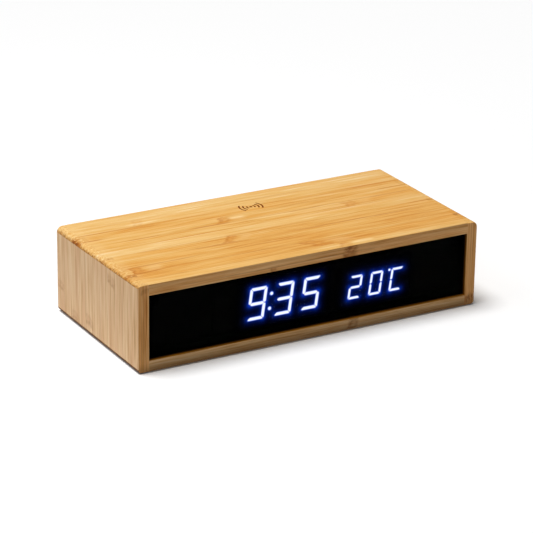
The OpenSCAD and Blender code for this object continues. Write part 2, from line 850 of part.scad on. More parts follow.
// The ribbon hangs in one even wave between its two sockets
module display_ribbon() {
    function height_at(t) = mid_z - ribbon_sag * (1 - cos(360 * t)) / 2;
    line = [
        for (i = [0:ribbon_steps])
            let (t = i / ribbon_steps) [ribbon_y0 + t * (ribbon_y1 - ribbon_y0), height_at(t)]
    ];
    upper = [for (i = [0:ribbon_steps]) line[i] + [0, ribbon_t / 2]];
    lower = [for (i = [ribbon_steps:-1:0]) line[i] - [0, ribbon_t / 2]];
    color("ivory") slab_x(ribbon_x - ribbon_w / 2, ribbon_x + ribbon_w / 2) polygon(concat(upper, lower));
}
module ribbon_sockets() {
    for (y = [display_y1, ribbon_y1])
        color("ivory")
            box([ribbon_x, y + ribbon_socket[1] / 2, mid_z - ribbon_socket[2] / 2], ribbon_socket);
}

// Shapes of the rear panel's openings, on X and Z
module usb_outline(grow) {
    stadium([usb_x, mid_z], usb_w + 2 * grow, usb_h + 2 * grow);
}
module sound_hole_ring() {
    disc([key_x, buzzer_z], sound_d / 2);
    for (i = [0:sound_holes - 1])
        disc([key_x, buzzer_z] + sound_ring * [cos(360 * i / sound_holes), sin(360 * i / sound_holes)],
             sound_d / 2);
}
module vent_slot_row() {
    for (i = [0:vent_slots - 1])
        stadium([vent_x + (i - (vent_slots - 1) / 2) * vent_pitch, mid_z], vent_w, vent_l);
}
// Two sectors on opposite sides of the door, out to a radius
module door_lugs(r, angle) {
    for (turn = [0, 180]) intersection() {
        circle(r);
        rotate(turn) wedge(angle);
    }
}
module rear_panel() {
    color([0.09, 0.09, 0.09]) difference() {
        union() {
            slab_y(rear_y0, rear_y1) opening_plate();
            slab_y(main_y1, rear_y0) for (at = main_screw_at) disc(at, boss_d / 2);
        }
        slab_y(rear_y0 - over, rear_y1 + over) {
            for (at = frame_screw_at) disc(at, screw_d / 2 + pass_gap);
            for (x = key_xs) disc([x, key_row_z], key_d / 2 + key_gap);
            disc([cell_x, mid_z], cell_hole_r);
            usb_outline(usb_gap);
            sound_hole_ring();
            vent_slot_row();
        }
        slab_y(rear_y0 - over, door_seat_y) translate([cell_x, mid_z])
            rotate(-door_turn) door_lugs(notch_r, door_lug_angle + notch_spare);
        slab_y(door_seat_y, rear_y1 + over) disc([cell_x, mid_z], door_cover_r + door_gap);
        slab_y(main_y1 - over, main_y0 + small_screw_l + over)
            for (at = main_screw_at) disc(at, small_screw_d / 2 + hole_gap);
    }
}
module rear_screws() {
    color("silver") for (at = frame_screw_at)
        translate([at[0], rear_y1, at[1]]) rotate([-90, 0, 0]) panel_screw();
}

module main_pcb() {
    color(board_green) slab_y(main_y0, main_y1) difference() {
        translate([0, mid_z]) square([main_w, main_pcb_h], center = true);
        for (at = main_screw_at) disc(at, small_screw_d / 2 + pass_gap);
    }
}
module main_pcb_screws() {
    color("silver") for (at = main_screw_at)
        translate([at[0], main_y0, at[1]]) rotate([90, 0, 0]) board_screw();
}

// Key cap with an inner lip and an eased outer edge
module key(i) {
    r = key_d / 2;
    lip_r = r + key_lip;
    lip_l = key_lip_y1 - key_lip_y0;
    l = rear_y1 + key_out - key_lip_y0;
    color([0.16, 0.16, 0.16]) translate([key_xs[i], key_lip_y0, key_row_z]) rotate([-90, 0, 0])
        rotate_extrude() polygon([
            [0, 0], [lip_r, 0], [lip_r, lip_l], [r, lip_l],
            [r, l - key_edge], [r - key_edge, l], [0, l]
        ]);
}
module plunger(i) {
    color("saddlebrown") slab_y(plunger_y0, key_lip_y0) disc([key_xs[i], key_row_z], plunger_d / 2);
}
module set_key() {
    key(0);
}
module down_key() {
    key(1);
}
module up_key() {
    key(2);
}
module alarm_key() {
    key(3);
}
module set_plunger() {
    plunger(0);
}
module down_plunger() {
    plunger(1);
}
module up_plunger() {
    plunger(2);
}
module alarm_plunger() {
    plunger(3);
}
module switch_bodies() {
    well_y = plunger_y0 - key_travel - plunger_room;
    color([0.12, 0.12, 0.12]) difference() {
        slab_y(main_y1, main_y1 + switch_h)
            for (x = key_xs) translate([x, key_row_z]) square(switch_w, center = true);
        slab_y(well_y, main_y1 + switch_h + over)
            for (x = key_xs) disc([x, key_row_z], plunger_d / 2 + plunger_gap);
    }
}

module main_chip() {
    color([0.06, 0.06, 0.06])
        box([chip_at[0], main_y0 - chip_size[1] / 2, chip_at[1] - chip_size[2] / 2], chip_size);
}
module clock_crystal() {
    color("silver") translate([crystal_at[0] - crystal_l / 2, 0, 0]) slab_x(0, crystal_l)
        disc([main_y0 - crystal_d / 2 - crystal_gap, crystal_at[1]], crystal_d / 2);
}
module buzzer() {
    color([0.08, 0.08, 0.08]) slab_y(main_y1, rear_y0 - buzzer_gap) difference() {
        disc([key_x, buzzer_z], buzzer_d / 2);
        disc([key_x, buzzer_z], sound_d / 2);
    }
}
module capacitors() {
    color([0.15, 0.18, 0.3]) slab_y(main_y0 - capacitor_l, main_y0)
        for (at = capacitor_at) disc(at, capacitor_d / 2);
}
module temperature_sensor() {
    bead_y = rear_y0 - sensor_d / 2 - buzzer_gap;
    color([0.2, 0.2, 0.22]) {
        translate([vent_x, bead_y, mid_z]) sphere(d = sensor_d);
        slab_y(main_y1, bead_y)
            for (s = sides) disc([vent_x + s * sensor_lead_gap / 2, mid_z], sensor_lead_d / 2);
    }
}

module cell_holder() {
    color([0.1, 0.1, 0.1]) {
        slab_y(main_y1, cell_y0) disc([cell_x, mid_z], holder_r);
        slab_y(cell_y0, cell_y0 + holder_wall_h) difference() {
            disc([cell_x, mid_z], holder_r);
            disc([cell_x, mid_z], holder_r - holder_wall);
        }
    }
}
module coin_cell() {
    color([0.8, 0.8, 0.82]) slab_y(cell_y0, cell_y1) disc([cell_x, mid_z], cell_d / 2);
}
// Sheet metal strip that presses on the cell, with a leg down to the board
module cell_contact() {
    leg_x = cell_x - holder_r - contact_side_gap - contact_t;
    color([0.75, 0.75, 0.7]) {
        slab_y(main_y1, cell_y1 + contact_t)
            plate(leg_x, leg_x + contact_t, mid_z - contact_w / 2, mid_z + contact_w / 2);
        slab_y(cell_y1, cell_y1 + contact_t)
            plate(leg_x, leg_x + contact_reach, mid_z - contact_w / 2, mid_z + contact_w / 2);
    }
}
module battery_door() {
    color([0.12, 0.12, 0.12]) difference() {
        union() {
            slab_y(door_seat_y + door_seat_gap, rear_y1) disc([cell_x, mid_z], door_cover_r);
            slab_y(door_lug_y0, door_seat_y + door_seat_gap) disc([cell_x, mid_z], door_neck_r);
            slab_y(door_lug_y0, door_lug_y1) translate([cell_x, mid_z])
                door_lugs(door_lug_r, door_lug_angle);
        }
        slab_y(rear_y1 - coin_slot_d, rear_y1 + over)
            stadium([cell_x, mid_z], coin_slot_l, coin_slot_w);
    }
}

module usb_shell() {
    color("silver") slab_y(main_y1, rear_y1 - usb_sink) difference() {
        usb_outline(0);
        usb_outline(-usb_wall);
    }
}
module usb_tongue() {
    color([0.08, 0.08, 0.08]) {
        slab_y(main_y1, main_y1 + usb_wall) usb_outline(-usb_wall);
        slab_y(main_y1 + usb_wall, rear_y1 - usb_sink - tongue_sink)
            translate([usb_x, mid_z]) square([tongue_w, tongue_t], center = true);
    }
}

module charging_coil() {
    back = [for (i = [len(coil_inside) - 1:-1:0]) coil_inside[i]];
    color([0.75, 0.42, 0.2]) slab_z(coil_z0, coil_z0 + wire_h) polygon(concat(coil_outside, back));
}
module ferrite_disc() {
    color([0.2, 0.2, 0.2]) slab_z(ferrite_z0, coil_z0) difference() {
        circle(ferrite_r);
        plate(-ferrite_r - over, lead_slot_x1, -lead_slot / 2, lead_slot / 2);
    }
}
module coil_carrier() {
    color([0.9, 0.9, 0.88]) difference() {
        union() {
            slab_z(carrier_z0, inner_z1) circle(carrier_r);
            slab_z(inner_z1, ferrite_z0) circle(ferrite_r);
        }
        slab_z(carrier_z0 - over, ferrite_z0 + over)
            plate(lead_slot_x0, lead_slot_x1, -lead_slot / 2, lead_slot / 2);
        slab_z(carrier_z0 - over, inner_z1 + over)
            for (at = carrier_screw_at) disc(at, small_screw_d / 2 + pass_gap);
    }
}
module carrier_screws() {
    color("silver") for (at = carrier_screw_at)
        translate([at[0], at[1], carrier_z0]) rotate([180, 0, 0]) board_screw();
}
module coil_leads() {
    color([0.75, 0.42, 0.2]) for (x = [-coil_r, -coil_out_r])
        lead([x, 0, coil_z0], [x, 0, coil_z0 - lead_bow],
             [x, coil_lead_y, charger_z1 + lead_bow], [x, coil_lead_y, charger_z1]);
}

module charger_pcb() {
    color(board_green) slab_z(charger_z0, charger_z1) difference() {
        translate([charger_x, 0]) square([charger_w, charger_d], center = true);
        for (at = charger_screw_at) disc(at, small_screw_d / 2 + pass_gap);
    }
}
module charger_spacers() {
    color("white") slab_z(inner_z0, charger_z0) for (at = charger_screw_at) difference() {
        disc(at, spacer_d / 2);
        disc(at, small_screw_d / 2 + pass_gap);
    }
}
module charger_screws() {
    color("silver") for (at = charger_screw_at)
        translate([at[0], at[1], charger_z1]) board_screw(charger_screw_l);
}
module charger_chip() {
    color([0.06, 0.06, 0.06])
        box([charger_chip_at[0], charger_chip_at[1], charger_z1], charger_chip_size);
}
module charger_capacitors() {
    color([0.55, 0.42, 0.3]) for (i = [-1:1])
        box([charger_x + i * charger_cap_pitch, charger_cap_y, charger_z1], charger_cap_size);
}
// One socket on the main board and one on the charger board
module power_sockets() {
    color("ivory") {
        slab_y(power_main_y, main_y0) translate([power_x, power_main_z])
            square([power_socket[0], power_socket[1]], center = true);
        slab_y(power_charger_y - power_socket[2], power_charger_y) translate([power_x, power_charger_z])
            square([power_socket[0], power_socket[1]], center = true);
    }
}
module power_leads() {
    color("firebrick") for (s = sides) {
        x = power_x + s * power_pitch / 2;
        lead([x, power_main_y, power_main_z], [x, power_main_y - power_reach, power_main_z],
             [x, power_charger_y + power_reach, power_charger_z], [x, power_charger_y, power_charger_z]);
    }
}

top_board();
bottom_board();
left_side();
right_side();
case_dowels();
left_front_post();
right_front_post();
left_rear_post();
right_rear_post();
feet();
front_panel();
panel_tape();
display_frame();
frame_screws();
reflector();
lit_segments();
unlit_segments();
segment_leds();
display_pcb();
display_driver();
display_screws();
display_ribbon();
ribbon_sockets();
rear_panel();
rear_screws();
main_pcb();
main_pcb_screws();
set_key();
down_key();
up_key();
alarm_key();
set_plunger();
down_plunger();
up_plunger();
alarm_plunger();
switch_bodies();
main_chip();
clock_crystal();
buzzer();
capacitors();
temperature_sensor();
cell_holder();
coin_cell();
cell_contact();
battery_door();
usb_shell();
usb_tongue();
charging_coil();
ferrite_disc();
coil_carrier();
carrier_screws();
coil_leads();
charger_pcb();
charger_spacers();
charger_screws();
charger_chip();
charger_capacitors();
power_sockets();
power_leads();
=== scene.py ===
"""Bamboo box clock: boards with their strips and knuckles, lit digits behind a smoked panel, rear keys."""
import inspect
import json
from math import cos, hypot, radians, sin, tan

import bmesh
import bpy
from mathutils import Matrix, Vector


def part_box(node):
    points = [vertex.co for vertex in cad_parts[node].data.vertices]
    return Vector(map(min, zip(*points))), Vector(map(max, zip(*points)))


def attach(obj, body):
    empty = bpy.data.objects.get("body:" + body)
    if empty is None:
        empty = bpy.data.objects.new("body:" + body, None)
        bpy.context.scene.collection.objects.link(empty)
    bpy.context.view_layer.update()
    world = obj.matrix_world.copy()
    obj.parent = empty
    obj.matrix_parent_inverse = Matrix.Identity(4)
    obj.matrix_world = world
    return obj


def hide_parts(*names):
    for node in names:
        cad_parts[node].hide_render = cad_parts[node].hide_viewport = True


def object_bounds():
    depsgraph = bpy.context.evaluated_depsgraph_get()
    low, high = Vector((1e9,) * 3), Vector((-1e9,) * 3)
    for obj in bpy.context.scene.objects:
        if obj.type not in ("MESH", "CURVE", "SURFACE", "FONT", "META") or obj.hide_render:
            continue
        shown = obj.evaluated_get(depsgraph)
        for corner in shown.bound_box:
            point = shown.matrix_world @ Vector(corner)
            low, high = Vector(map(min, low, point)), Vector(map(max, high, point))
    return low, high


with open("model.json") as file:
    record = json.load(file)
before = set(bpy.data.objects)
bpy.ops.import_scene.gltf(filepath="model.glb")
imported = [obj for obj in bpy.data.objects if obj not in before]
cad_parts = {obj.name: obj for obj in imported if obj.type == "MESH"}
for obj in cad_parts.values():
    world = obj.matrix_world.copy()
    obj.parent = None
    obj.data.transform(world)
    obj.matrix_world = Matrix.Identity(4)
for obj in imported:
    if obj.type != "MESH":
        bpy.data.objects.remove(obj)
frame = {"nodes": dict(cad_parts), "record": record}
cad_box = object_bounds()
MM = 0.001
LENGTH = (1, 0, 0)
DEPTH = (0, 1, 0)
HEIGHT = (0, 0, 1)

# Camera of the photograph
VIEW_AZIMUTH = radians(-29.655)
VIEW_ELEVATION = radians(21.559)
VIEW_ROLL = radians(0.819)
VIEW_TARGET = Vector((-0.900, -0.458, 22.455)) * MM
VIEW_DISTANCE = 1265.35 * MM
VIEW_LENS = 170.665

# Light: a soft sun, a lamp on the left, a weak sky and the floor
SUN_FROM = Vector((-0.21, 0.08, 1.0))
SUN_STRENGTH = 2.62
SUN_SPREAD = 28
LAMP_AT = Vector((-0.30, 0.08, 0.42))
LAMP_SIZE = 0.4
LAMP_POWER = 0.5
SKY_STRENGTH = 0.10
FLOOR_BOUNCE = 0.62
FLOOR_SHADE = 1.0
FLOOR_LIFT = 0.037
FLOOR_REACH = 30

# Boards: their strips, rounded long edges and eased ends
STRIP = 8.15
STALK_REACH = 1270.0
SEED_STEP = 13.7
EDGE_ROUND = 3.0
LEFT_FRONT_ROUND = 1.5
UNDER_ROUND = 1.8
ROUND_STEPS = 8
EASE_STEPS = 4
OUTER_EASE = 0.55
TOP_EASE = 0.3
INNER_EASE = 0.2
JOINT_EASE = 0.07
KNUCKLE_BAND = 0.8
KNUCKLE_PALE = 0.22

# Where the tones of a ramp lie, by their count
RAMP_PLACES = {3: (0.0, 0.5, 1.0), 4: (0.0, 0.3, 0.55, 1.0), 5: (0.0, 0.25, 0.5, 0.75, 1.0)}

# Parts of a face's normal: square to an axis, facing it, and where finishes of the boards begin
SQUARE = 0.9995
FACING = 0.5
FRONT_FROM = 0.75
WORN_FROM = 0.6
FOOT_FROM = 0.08
ROUND_FROM = 0.05

# Burnt mark on the top, as in the CAD model
MARK_AT = (4.2, 25.4)
MARK_R = 2.1
MARK_STEP = 2.0
MARK_LINE = 0.8
MARK_ANGLE = 38.5
MARK_WAVES = 3
MARK_DOT_R = 0.8
MARK_DOT_STEPS = 24
MARK_DEPTH = 0.15
MARK_REACH = 10.0
MARK_SKIN = 0.02
MARK_CLEAR = 1.0
MARK_STEPS = 14

# Digits, as in the CAD model: their middle, pitch, and size with stroke
TIME_X = -43.7
TIME_PITCH = 15.0
TIME_SIZE = (9.8, 17.0, 1.85)
TEMP_X = 26.7
TEMP_PITCH = 11.9
TEMP_SIZE = (7.3, 12.4, 1.4)
DIGIT_DROP = 0.4
TEMP_LIFT = 0.6
SLANT = 7.9
COLON_SHARE = 0.225
COLON_R = 1.0
DEGREE_OUT = 0.4
DEGREE_FALL = 0.7
DEGREE_R = 0.75

# Seven segments from corner to corner, in half widths and half heights, and which are lit in each sign
SEGMENTS = (
    (-1, 1, 1, 1), (1, 1, 1, 0), (1, 0, 1, -1), (-1, -1, 1, -1), (-1, 0, -1, -1), (-1, 1, -1, 0),
    (-1, 0, 1, 0))
NINE = (0, 1, 2, 3, 5, 6)
THREE = (0, 1, 2, 3, 6)
FIVE = (0, 2, 3, 5, 6)
TWO = (0, 1, 3, 4, 6)
ZERO = (0, 1, 2, 3, 4, 5)
CELSIUS = (0, 3, 4, 5)

# Light of the digits, and the smoked panel before them
GLOW_SPREAD = 0.8
GLOW_LEVEL = 0.162
GLOW_TONE = (0.012, 0.088, 1.0, 1.0)
GLOW_STRENGTH = 4.5
SMOKE_TONE = (0.25, 0.25, 0.26, 1.0)
SMOKE_IOR = 1.07
SMOKE_GLOSS = (0.0, 0.0, 0.0, 1.0)
SEGMENT_STRENGTH = 4.3
CORE_REACH = 0.5
STROKE_TRIM = 0.55
STROKE_CORE = (232, 240, 255)
STROKE_EDGE = (0.12, 0.22, 0.8, 1.0)

# Copies of CAD nodes: corners welded, flat faces joined and edges eased
WELD = 0.002
FLAT_WITHIN = 0.6
EASE_FROM = 40

# Keys, screws, feet, inlet contacts and printed signs
TURN_STEPS = 48
SCREW_STEPS = 40
KEY_SHARP = 50
SMALL_SHARP = 35
KEY_LIP = 1.2
KEY_LIP_GAP = 0.2
KEY_ROUND = 0.5
KEY_RIM = 0.15
KEY_DISH = 0.3
KEY_DISH_STEPS = 8
SCREW_HEAD_R = 2.5
SCREW_CROWN_R = 1.2
SCREW_SHANK_R = 1.25
SCREW_POINT = (0.3, 0.4)
CROSS_WIDTH = 0.75
CROSS_SPAN = 2.7
CROSS_DEPTH = 0.9
CROSS_TAPER = 0.55
FOOT_R = 6.0
FOOT_HOLLOW = 0.1
CONTACT_COUNT = 12
CONTACT_PITCH = 0.5
CONTACT_SIZE = (0.26, 1.5, 0.05)
CONTACT_SINK = 0.15
CONTACT_EASE = 0.015
PRINT_SINK = 0.05
PRINT_RISE = 0.02
SIGN_RISE = 5.4
SIGN_SIZE = 1.1
ARROW_LINE = (9.0, 9.6, 79.5, 120)
ARROW_HEAD = ((10.4, 80), (8.2, 80), (9.3, 66))


# Node helpers


def shade(red, green, blue):
    """A screen colour of 0 to 255, as the shader wants it."""
    def linear(value):
        part = value / 255
        return part / 12.92 if part <= 0.04045 else ((part + 0.055) / 1.055) ** 2.4
    return (linear(red), linear(green), linear(blue), 1.0)


def having(thing, **settings):
    """A thing with its settings set."""
    for key, value in settings.items():
        setattr(thing, key, value)
    return thing


def arithmetic(operation):
    return lambda *values: maths(operation, *values)


class Value:
    """A value in a node tree. Arithmetic with it lays the nodes that work it out."""
    __add__ = arithmetic("ADD")
    __sub__ = arithmetic("SUBTRACT")
    __mul__ = arithmetic("MULTIPLY")
    __truediv__ = arithmetic("DIVIDE")
    __abs__ = arithmetic("ABSOLUTE")

    def __init__(self, socket):
        self.socket = socket
        self.tree = socket.id_data

    def __rsub__(self, other):
        return maths("SUBTRACT", other, self)


def tree_of(values):
    return next(value.tree for value in values if isinstance(value, Value))


def feed(socket, value):
    """Link a value to a socket, or set a constant: a screen colour if it has three parts."""
    if isinstance(value, Value):
        value.tree.links.new(value.socket, socket)
    elif socket.type == "RGBA" and len(value) == 3:
        socket.default_value = shade(*value)
    else:
        socket.default_value = value


def laid(kind, given, output=0, tree=None, **settings):
    """One output of a new node with inputs by number or name, in the first value's tree."""
    made = having((tree or tree_of(given.values())).nodes.new(kind), **settings)
    for key, value in given.items():
        feed(made.inputs[key], value)
    return Value(made.outputs[output])


def maths(operation, *values, clamp=False):
    return laid("ShaderNodeMath", dict(enumerate(values)), operation=operation, use_clamp=clamp)


def largest(first, second):
    return maths("MAXIMUM", first, second)


def mix(factor, first, second):
    return laid("ShaderNodeMix", {0: factor, 6: first, 7: second}, 2, data_type="RGBA")


def step(value, low, high, start=0.0, end=1.0):
    """Smooth change from a start to an end while a value goes from low to high."""
    given = dict(enumerate((value, low, high, start, end)))
    return laid("ShaderNodeMapRange", given, interpolation_type="SMOOTHSTEP")


def fall(value, low, high, start=1.0):
    return step(value, low, high, start, 0.0)


def stretch(pattern, start=0.0, end=1.0):
    """The usual range of a noise, stretched from a start to an end."""
    return step(pattern, 0.3, 0.7, start, end)


def point(x, y, z):
    return laid("ShaderNodeCombineXYZ", {0: x, 1: y, 2: z})


def noise(vector, scale=1.0, detail=2.0, roughness=0.5):
    given = {"Vector": vector, "Scale": scale, "Detail": detail, "Roughness": roughness}
    return laid("ShaderNodeTexNoise", given)


def cells(vector, scale):
    return laid("ShaderNodeTexVoronoi", {"Vector": vector, "Scale": scale}, "Distance")


def along(vector, *directions):
    """How far a place lies along each direction."""
    parts = [laid("ShaderNodeVectorMath", {0: vector, 1: direction}, "Value", operation="DOT_PRODUCT")
             for direction in directions]
    return parts if len(parts) > 1 else parts[0]


def bump(height, strength, depth):
    return laid("ShaderNodeBump", {"Strength": strength, "Distance": depth * MM, "Height": height})


def ramp(value, tones):
    """Colour by a value from 0 to 1, from the first tone to the last."""
    made = value.tree.nodes.new("ShaderNodeValToRGB")
    row = made.color_ramp.elements
    while len(row) < len(tones):
        row.new(0.5)
    for element, place, tone in zip(row, RAMP_PLACES[len(tones)], tones):
        element.position = place
        element.color = shade(*tone)
    feed(made.inputs[0], value)
    return Value(made.outputs[0])


def shader_group(*results):
    """Turn a function of values into a shader group, and its calls into nodes of that group."""
    def build(work):
        tree = bpy.data.node_groups.new(work.__name__, "ShaderNodeTree")
        for way, labels in (("INPUT", inspect.signature(work).parameters), ("OUTPUT", results)):
            for label in labels:
                tree.interface.new_socket(name=label, in_out=way, socket_type="NodeSocketFloat")
        given = [Value(socket) for socket in tree.nodes.new("NodeGroupInput").outputs]
        ends = tree.nodes.new("NodeGroupOutput").inputs
        for socket, value in zip(ends, work(*given[:-1])):
            feed(socket, value)

        def call(*values):
            made = tree_of(values).nodes.new("ShaderNodeGroup")
            made.node_tree = tree
            for socket, value in zip(made.inputs, values):
                feed(socket, value)
            return [Value(socket) for socket in made.outputs]
        return call
    return build


def new_finish(name):
    """Place on a piece in millimetres for a new material, and what sets its shader and returns it."""
    finish = having(bpy.data.materials.new(name), use_nodes=True)
    nodes = finish.node_tree.nodes
    place = Value(nodes.new("ShaderNodeTexCoord").outputs["Object"])
    skin = nodes["Principled BSDF"]

    def dress(colour, rough, **values):
        for label, value in dict(values, Base_Color=colour, Roughness=rough).items():
            feed(skin.inputs[label.replace("_", " ")], value)
        return finish
    return laid("ShaderNodeVectorMath", {0: place, "Scale": 1 / MM}, operation="SCALE"), dress


# Shader groups


@shader_group("tone", "joint_line", "fibre", "tint")
def bamboo_grain(run, lane, strip, shift, seed, sway, flame, fibres, strip_tone):
    """Strips side by side, each with its own tone, streaks and fibres."""
    place = (lane - shift) / strip
    number = maths("FLOOR", place)
    part = place - number
    draw = maths("MULTIPLY_ADD", seed, SEED_STEP, number)
    lot = laid("ShaderNodeTexWhiteNoise", {"W": draw}, "Value", noise_dimensions="1D")
    stalk = lot * STALK_REACH + run
    swing = noise(point(stalk * 0.035, lane * 0.12, 0.0))
    bent = (swing - 0.5) * sway + lane

    def streak(length, width, detail, roughness):
        return noise(point(stalk * length, bent * width, number * 3.1), detail=detail, roughness=roughness)

    tongue = streak(0.018, 0.32, 2.5, 0.5)
    fibre = streak(0.035, 1.25, 3.0, 0.6)
    fine = streak(0.09, 5.5, 2.0, 0.6)
    tone = (lot - 0.5) * strip_tone + 0.5
    for layer, weight in ((tongue, flame), (fibre, fibres), (fine, 0.6)):
        tone = (layer - 0.5) * weight + tone
    line = fall(maths("MINIMUM", part, 1.0 - part) * strip, 0.05, 0.38)
    fade = noise(point(run * 0.02, place * 0.9, 4.0))
    return tone, line * step(fade, 0.4, 0.66), fibre * 0.6 + fine * 0.4, streak(0.02, 0.2, 2.0, 0.5)


@shader_group("patch", "band", "pale")
def bamboo_knuckle(run, lane, at_lane, half_strip, at_run, reach, slope):
    """Where a strip's stalk had a joint: two bowed bands, and lines that run into them."""
    u = (run - at_run) / reach
    v = (lane - at_lane) / half_strip
    ragged = noise(point(lane * 0.45, at_run, run * 0.22), detail=3.0)
    bowed = (ragged - 0.5) * 1.1 + (v * v * 0.35 + (u - v * slope))
    side = abs(v)
    inside = fall(side, 0.86, 1.0)
    fleck = stretch(noise(point(run * 0.4, lane, at_lane), detail=4.0, roughness=0.6), 0.25, 1.0)
    patch = fall(abs(bowed), 0.3, 1.05) * fleck * inside
    band = largest(fall(abs(bowed + 0.42), 0.03, 0.45), fall(abs(bowed - 0.5), 0.03, 0.4, 0.35)) * inside
    rim = fall(abs(side - 0.95), 0.02, 0.18)
    trail = maths("EXPONENT", abs(u) * -0.4) * step(u * v * slope, -0.15, 0.15, 0.2, 1.0)
    pale = fall(abs(bowed - 2.0), 0.3, 1.3) * fall(side, 0.4, 0.95)
    return patch, largest(band, rim * trail) * fleck, pale


@shader_group("mask")
def grain_stroke(run, lane, middle, half_length, at_lane, half_width, weight):
    """One line along the fibres, which thins out towards its ends."""
    body = fall(abs(lane - at_lane), 0.0, half_width, weight)
    return (body * fall(abs(run - middle), half_length * 0.4, half_length),)


@shader_group("pebble", "cloud")
def moulded_grain(x, y, z, grain):
    """Fine grain of moulded plastic, and a slow cloud of polish."""
    at = point(x, y, z)
    return cells(at, grain), noise(at, scale=0.11, detail=3.0)


@shader_group("glow", "core")
def segment_glow(x, z, start_x, start_z, reach_x, reach_z, half_stroke, spread):
    """Light of a lit line on X and Z: how it spreads, and how near its middle is."""
    from_x = x - start_x
    from_z = z - start_z
    hit = from_x * reach_x + from_z * reach_z
    size = reach_x * reach_x + reach_z * reach_z
    share = maths("DIVIDE", hit, largest(size, 0.0001), clamp=True)
    off_x = from_x - share * reach_x
    off_z = from_z - share * reach_z
    away = maths("SQRT", off_x * off_x + off_z * off_z)
    glow = maths("EXPONENT", largest(away - half_stroke, 0.0) / (spread * -1.0))
    return glow, maths("SUBTRACT", 1.0, away / half_stroke, clamp=True)


# Finishes of the bamboo


def strip_colour(run, lane, look, shift, seed, strip=STRIP):
    """Colour of strips with their glue lines, and the height of their fibres."""
    tone, joint_line, fibre, tint = bamboo_grain(run, lane, strip, shift, seed, *look["grain"])
    colour = ramp(tone, look["tones"])
    colour = mix(step(tint, 0.42, 0.68, 0.0, look["tint_weight"]), colour, look["tint"])
    return mix(joint_line * look["line_weight"], colour, look["line"]), fibre


def draw_strokes(run, lane, colour, strokes, tone):
    """Lay lines over a colour: a place across, a start, an end, half a width and a weight."""
    drift = noise(point(run * 0.05, lane * 0.06, 3.0))
    bent = (drift - 0.5) * 1.8 + lane
    total = 0.0
    for place, start, end, half, weight in strokes:
        mask, = grain_stroke(run, bent, (start + end) / 2, (end - start) / 2, place, half, weight)
        total = largest(total, mask)
    broken = noise(point(run * 0.11, lane * 1.2, 5.0), detail=3.0)
    return mix(total * step(broken, 0.3, 0.6, 0.4, 1.0), colour, tone)


def turn_ends(run, colour, look, ends):
    """Let a colour turn to another tone towards the ends of the strips."""
    for start, end, weight, tone in ends:
        colour = mix(step(run, start, end, 0.0, weight), colour, look[tone])
    return colour


def bamboo(part, fibres, sideways, look, shift, seed, knuckles=(), strip=STRIP, knots=(), ends=(), pale=(),
           strokes=(), dusk=None, deep=None):
    """Oiled bamboo along its fibres. A knuckle is a strip, a place, a reach, a slope and a weight."""
    spot, dress = new_finish("bamboo_" + part)
    run, lane = along(spot, fibres, sideways)
    colour, fibre = strip_colour(run, lane, look, shift, seed, strip)
    colour = turn_ends(run, colour, look, ends)
    for lines, tone in ((pale, "pale"), (strokes, "line")):
        if lines:
            colour = draw_strokes(run, lane, colour, lines, look[tone])
    for number, place, reach, slope, weight in knuckles:
        middle = shift + (number + 0.5) * strip
        patch, band, beyond = bamboo_knuckle(run, lane, middle, strip / 2, place, reach, slope)
        colour = mix(beyond * (KNUCKLE_PALE * weight), colour, look["pale"])
        colour = mix(patch * weight, colour, look["knuckle"])
        colour = mix(band * (KNUCKLE_BAND * weight), colour, look["line"])
    for *knot, weight in knots:
        colour = mix(bamboo_knuckle(run, lane, *knot)[0] * weight, colour, look["line"])
    # Painted shade: darker towards a height
    if dusk:
        colour = mix(fall(along(spot, HEIGHT), *dusk), colour, DUSK_TONE)
    # Painted shade: darker deeper into the opening
    if deep:
        colour = mix(fall(abs(along(spot, DEPTH)), *deep), colour, DEEP_TONE)
    return dress(colour, stretch(fibre, 0.62, 0.5), Specular_IOR_Level=look["gloss"],
                 Normal=bump(fibre, 0.25, 0.08))


def rounded_ends(name):
    """Rounded ends of the top's strips, mottled, with pale flecks of painted highlight where the side begins.
    """
    spot, dress = new_finish(name)
    run, lane, rise = along(spot, LENGTH, DEPTH, HEIGHT)
    colour, _ = strip_colour(run, lane, TOP_LOOK, TOP_SHIFT, TOP_SEED)
    colour = turn_ends(run, colour, TOP_LOOK, TOP_ENDS)
    colour = draw_strokes(run, lane, colour, TOP_STROKES, TOP_LOOK["line"])
    cut = step(abs(run), *END_CUT)
    mottle = noise(spot, scale=0.95, detail=4.0, roughness=0.6)
    # Pale flecks of painted highlight on the rounding
    colour = mix(step(mottle, 0.52, 0.68, 0.0, 0.5) * cut, colour, END_FLECK)
    colour = mix(step(mottle, 0.5, 0.34, 0.0, 0.75) * cut, colour, END_STAIN)
    wander = noise(point(lane * 0.22, 0.0, 7.0), detail=3.0)
    border = wander - 0.5 + (lane * END_BORDER[1] + (rise - END_BORDER[0]))
    colour = mix(fall(border, 0.0, 1.8, 0.6), colour, END_STAIN)
    blots = 0.0
    for place, half, weight in END_BLOTS:
        blots = largest(blots, fall(abs(lane - place), 0.2 * half, half, weight))
    blots = blots * fall(border, 1.0, 2.8, 1.8)
    soaked = maths("MULTIPLY", blots, step(mottle, 0.7, 0.45, 0.2, 0.8), clamp=True)
    colour = mix(soaked, colour, BLOT_TONE)
    chip = noise(spot, scale=0.75, detail=3.0, roughness=0.6)
    near = largest(fall(border, 0.4, 1.8), blots)
    colour = mix(maths("MULTIPLY", step(chip, 0.46, 0.62, 0.0, 0.85), near, clamp=True), colour, PORE_TONE)
    below, _ = strip_colour(rise, lane, SIDE_LOOK, SIDE_SHIFT, SIDE_SEED)
    colour = mix(step(border, -0.12, 0.12), below, colour)
    colour = mix(fall(abs(border), 0.05, 0.3, 0.3), colour, PORE_TONE)
    return dress(colour, stretch(mottle, 0.6, 0.72), Specular_IOR_Level=TOP_LOOK["gloss"],
                 Normal=bump(mottle, 0.2, 0.1))


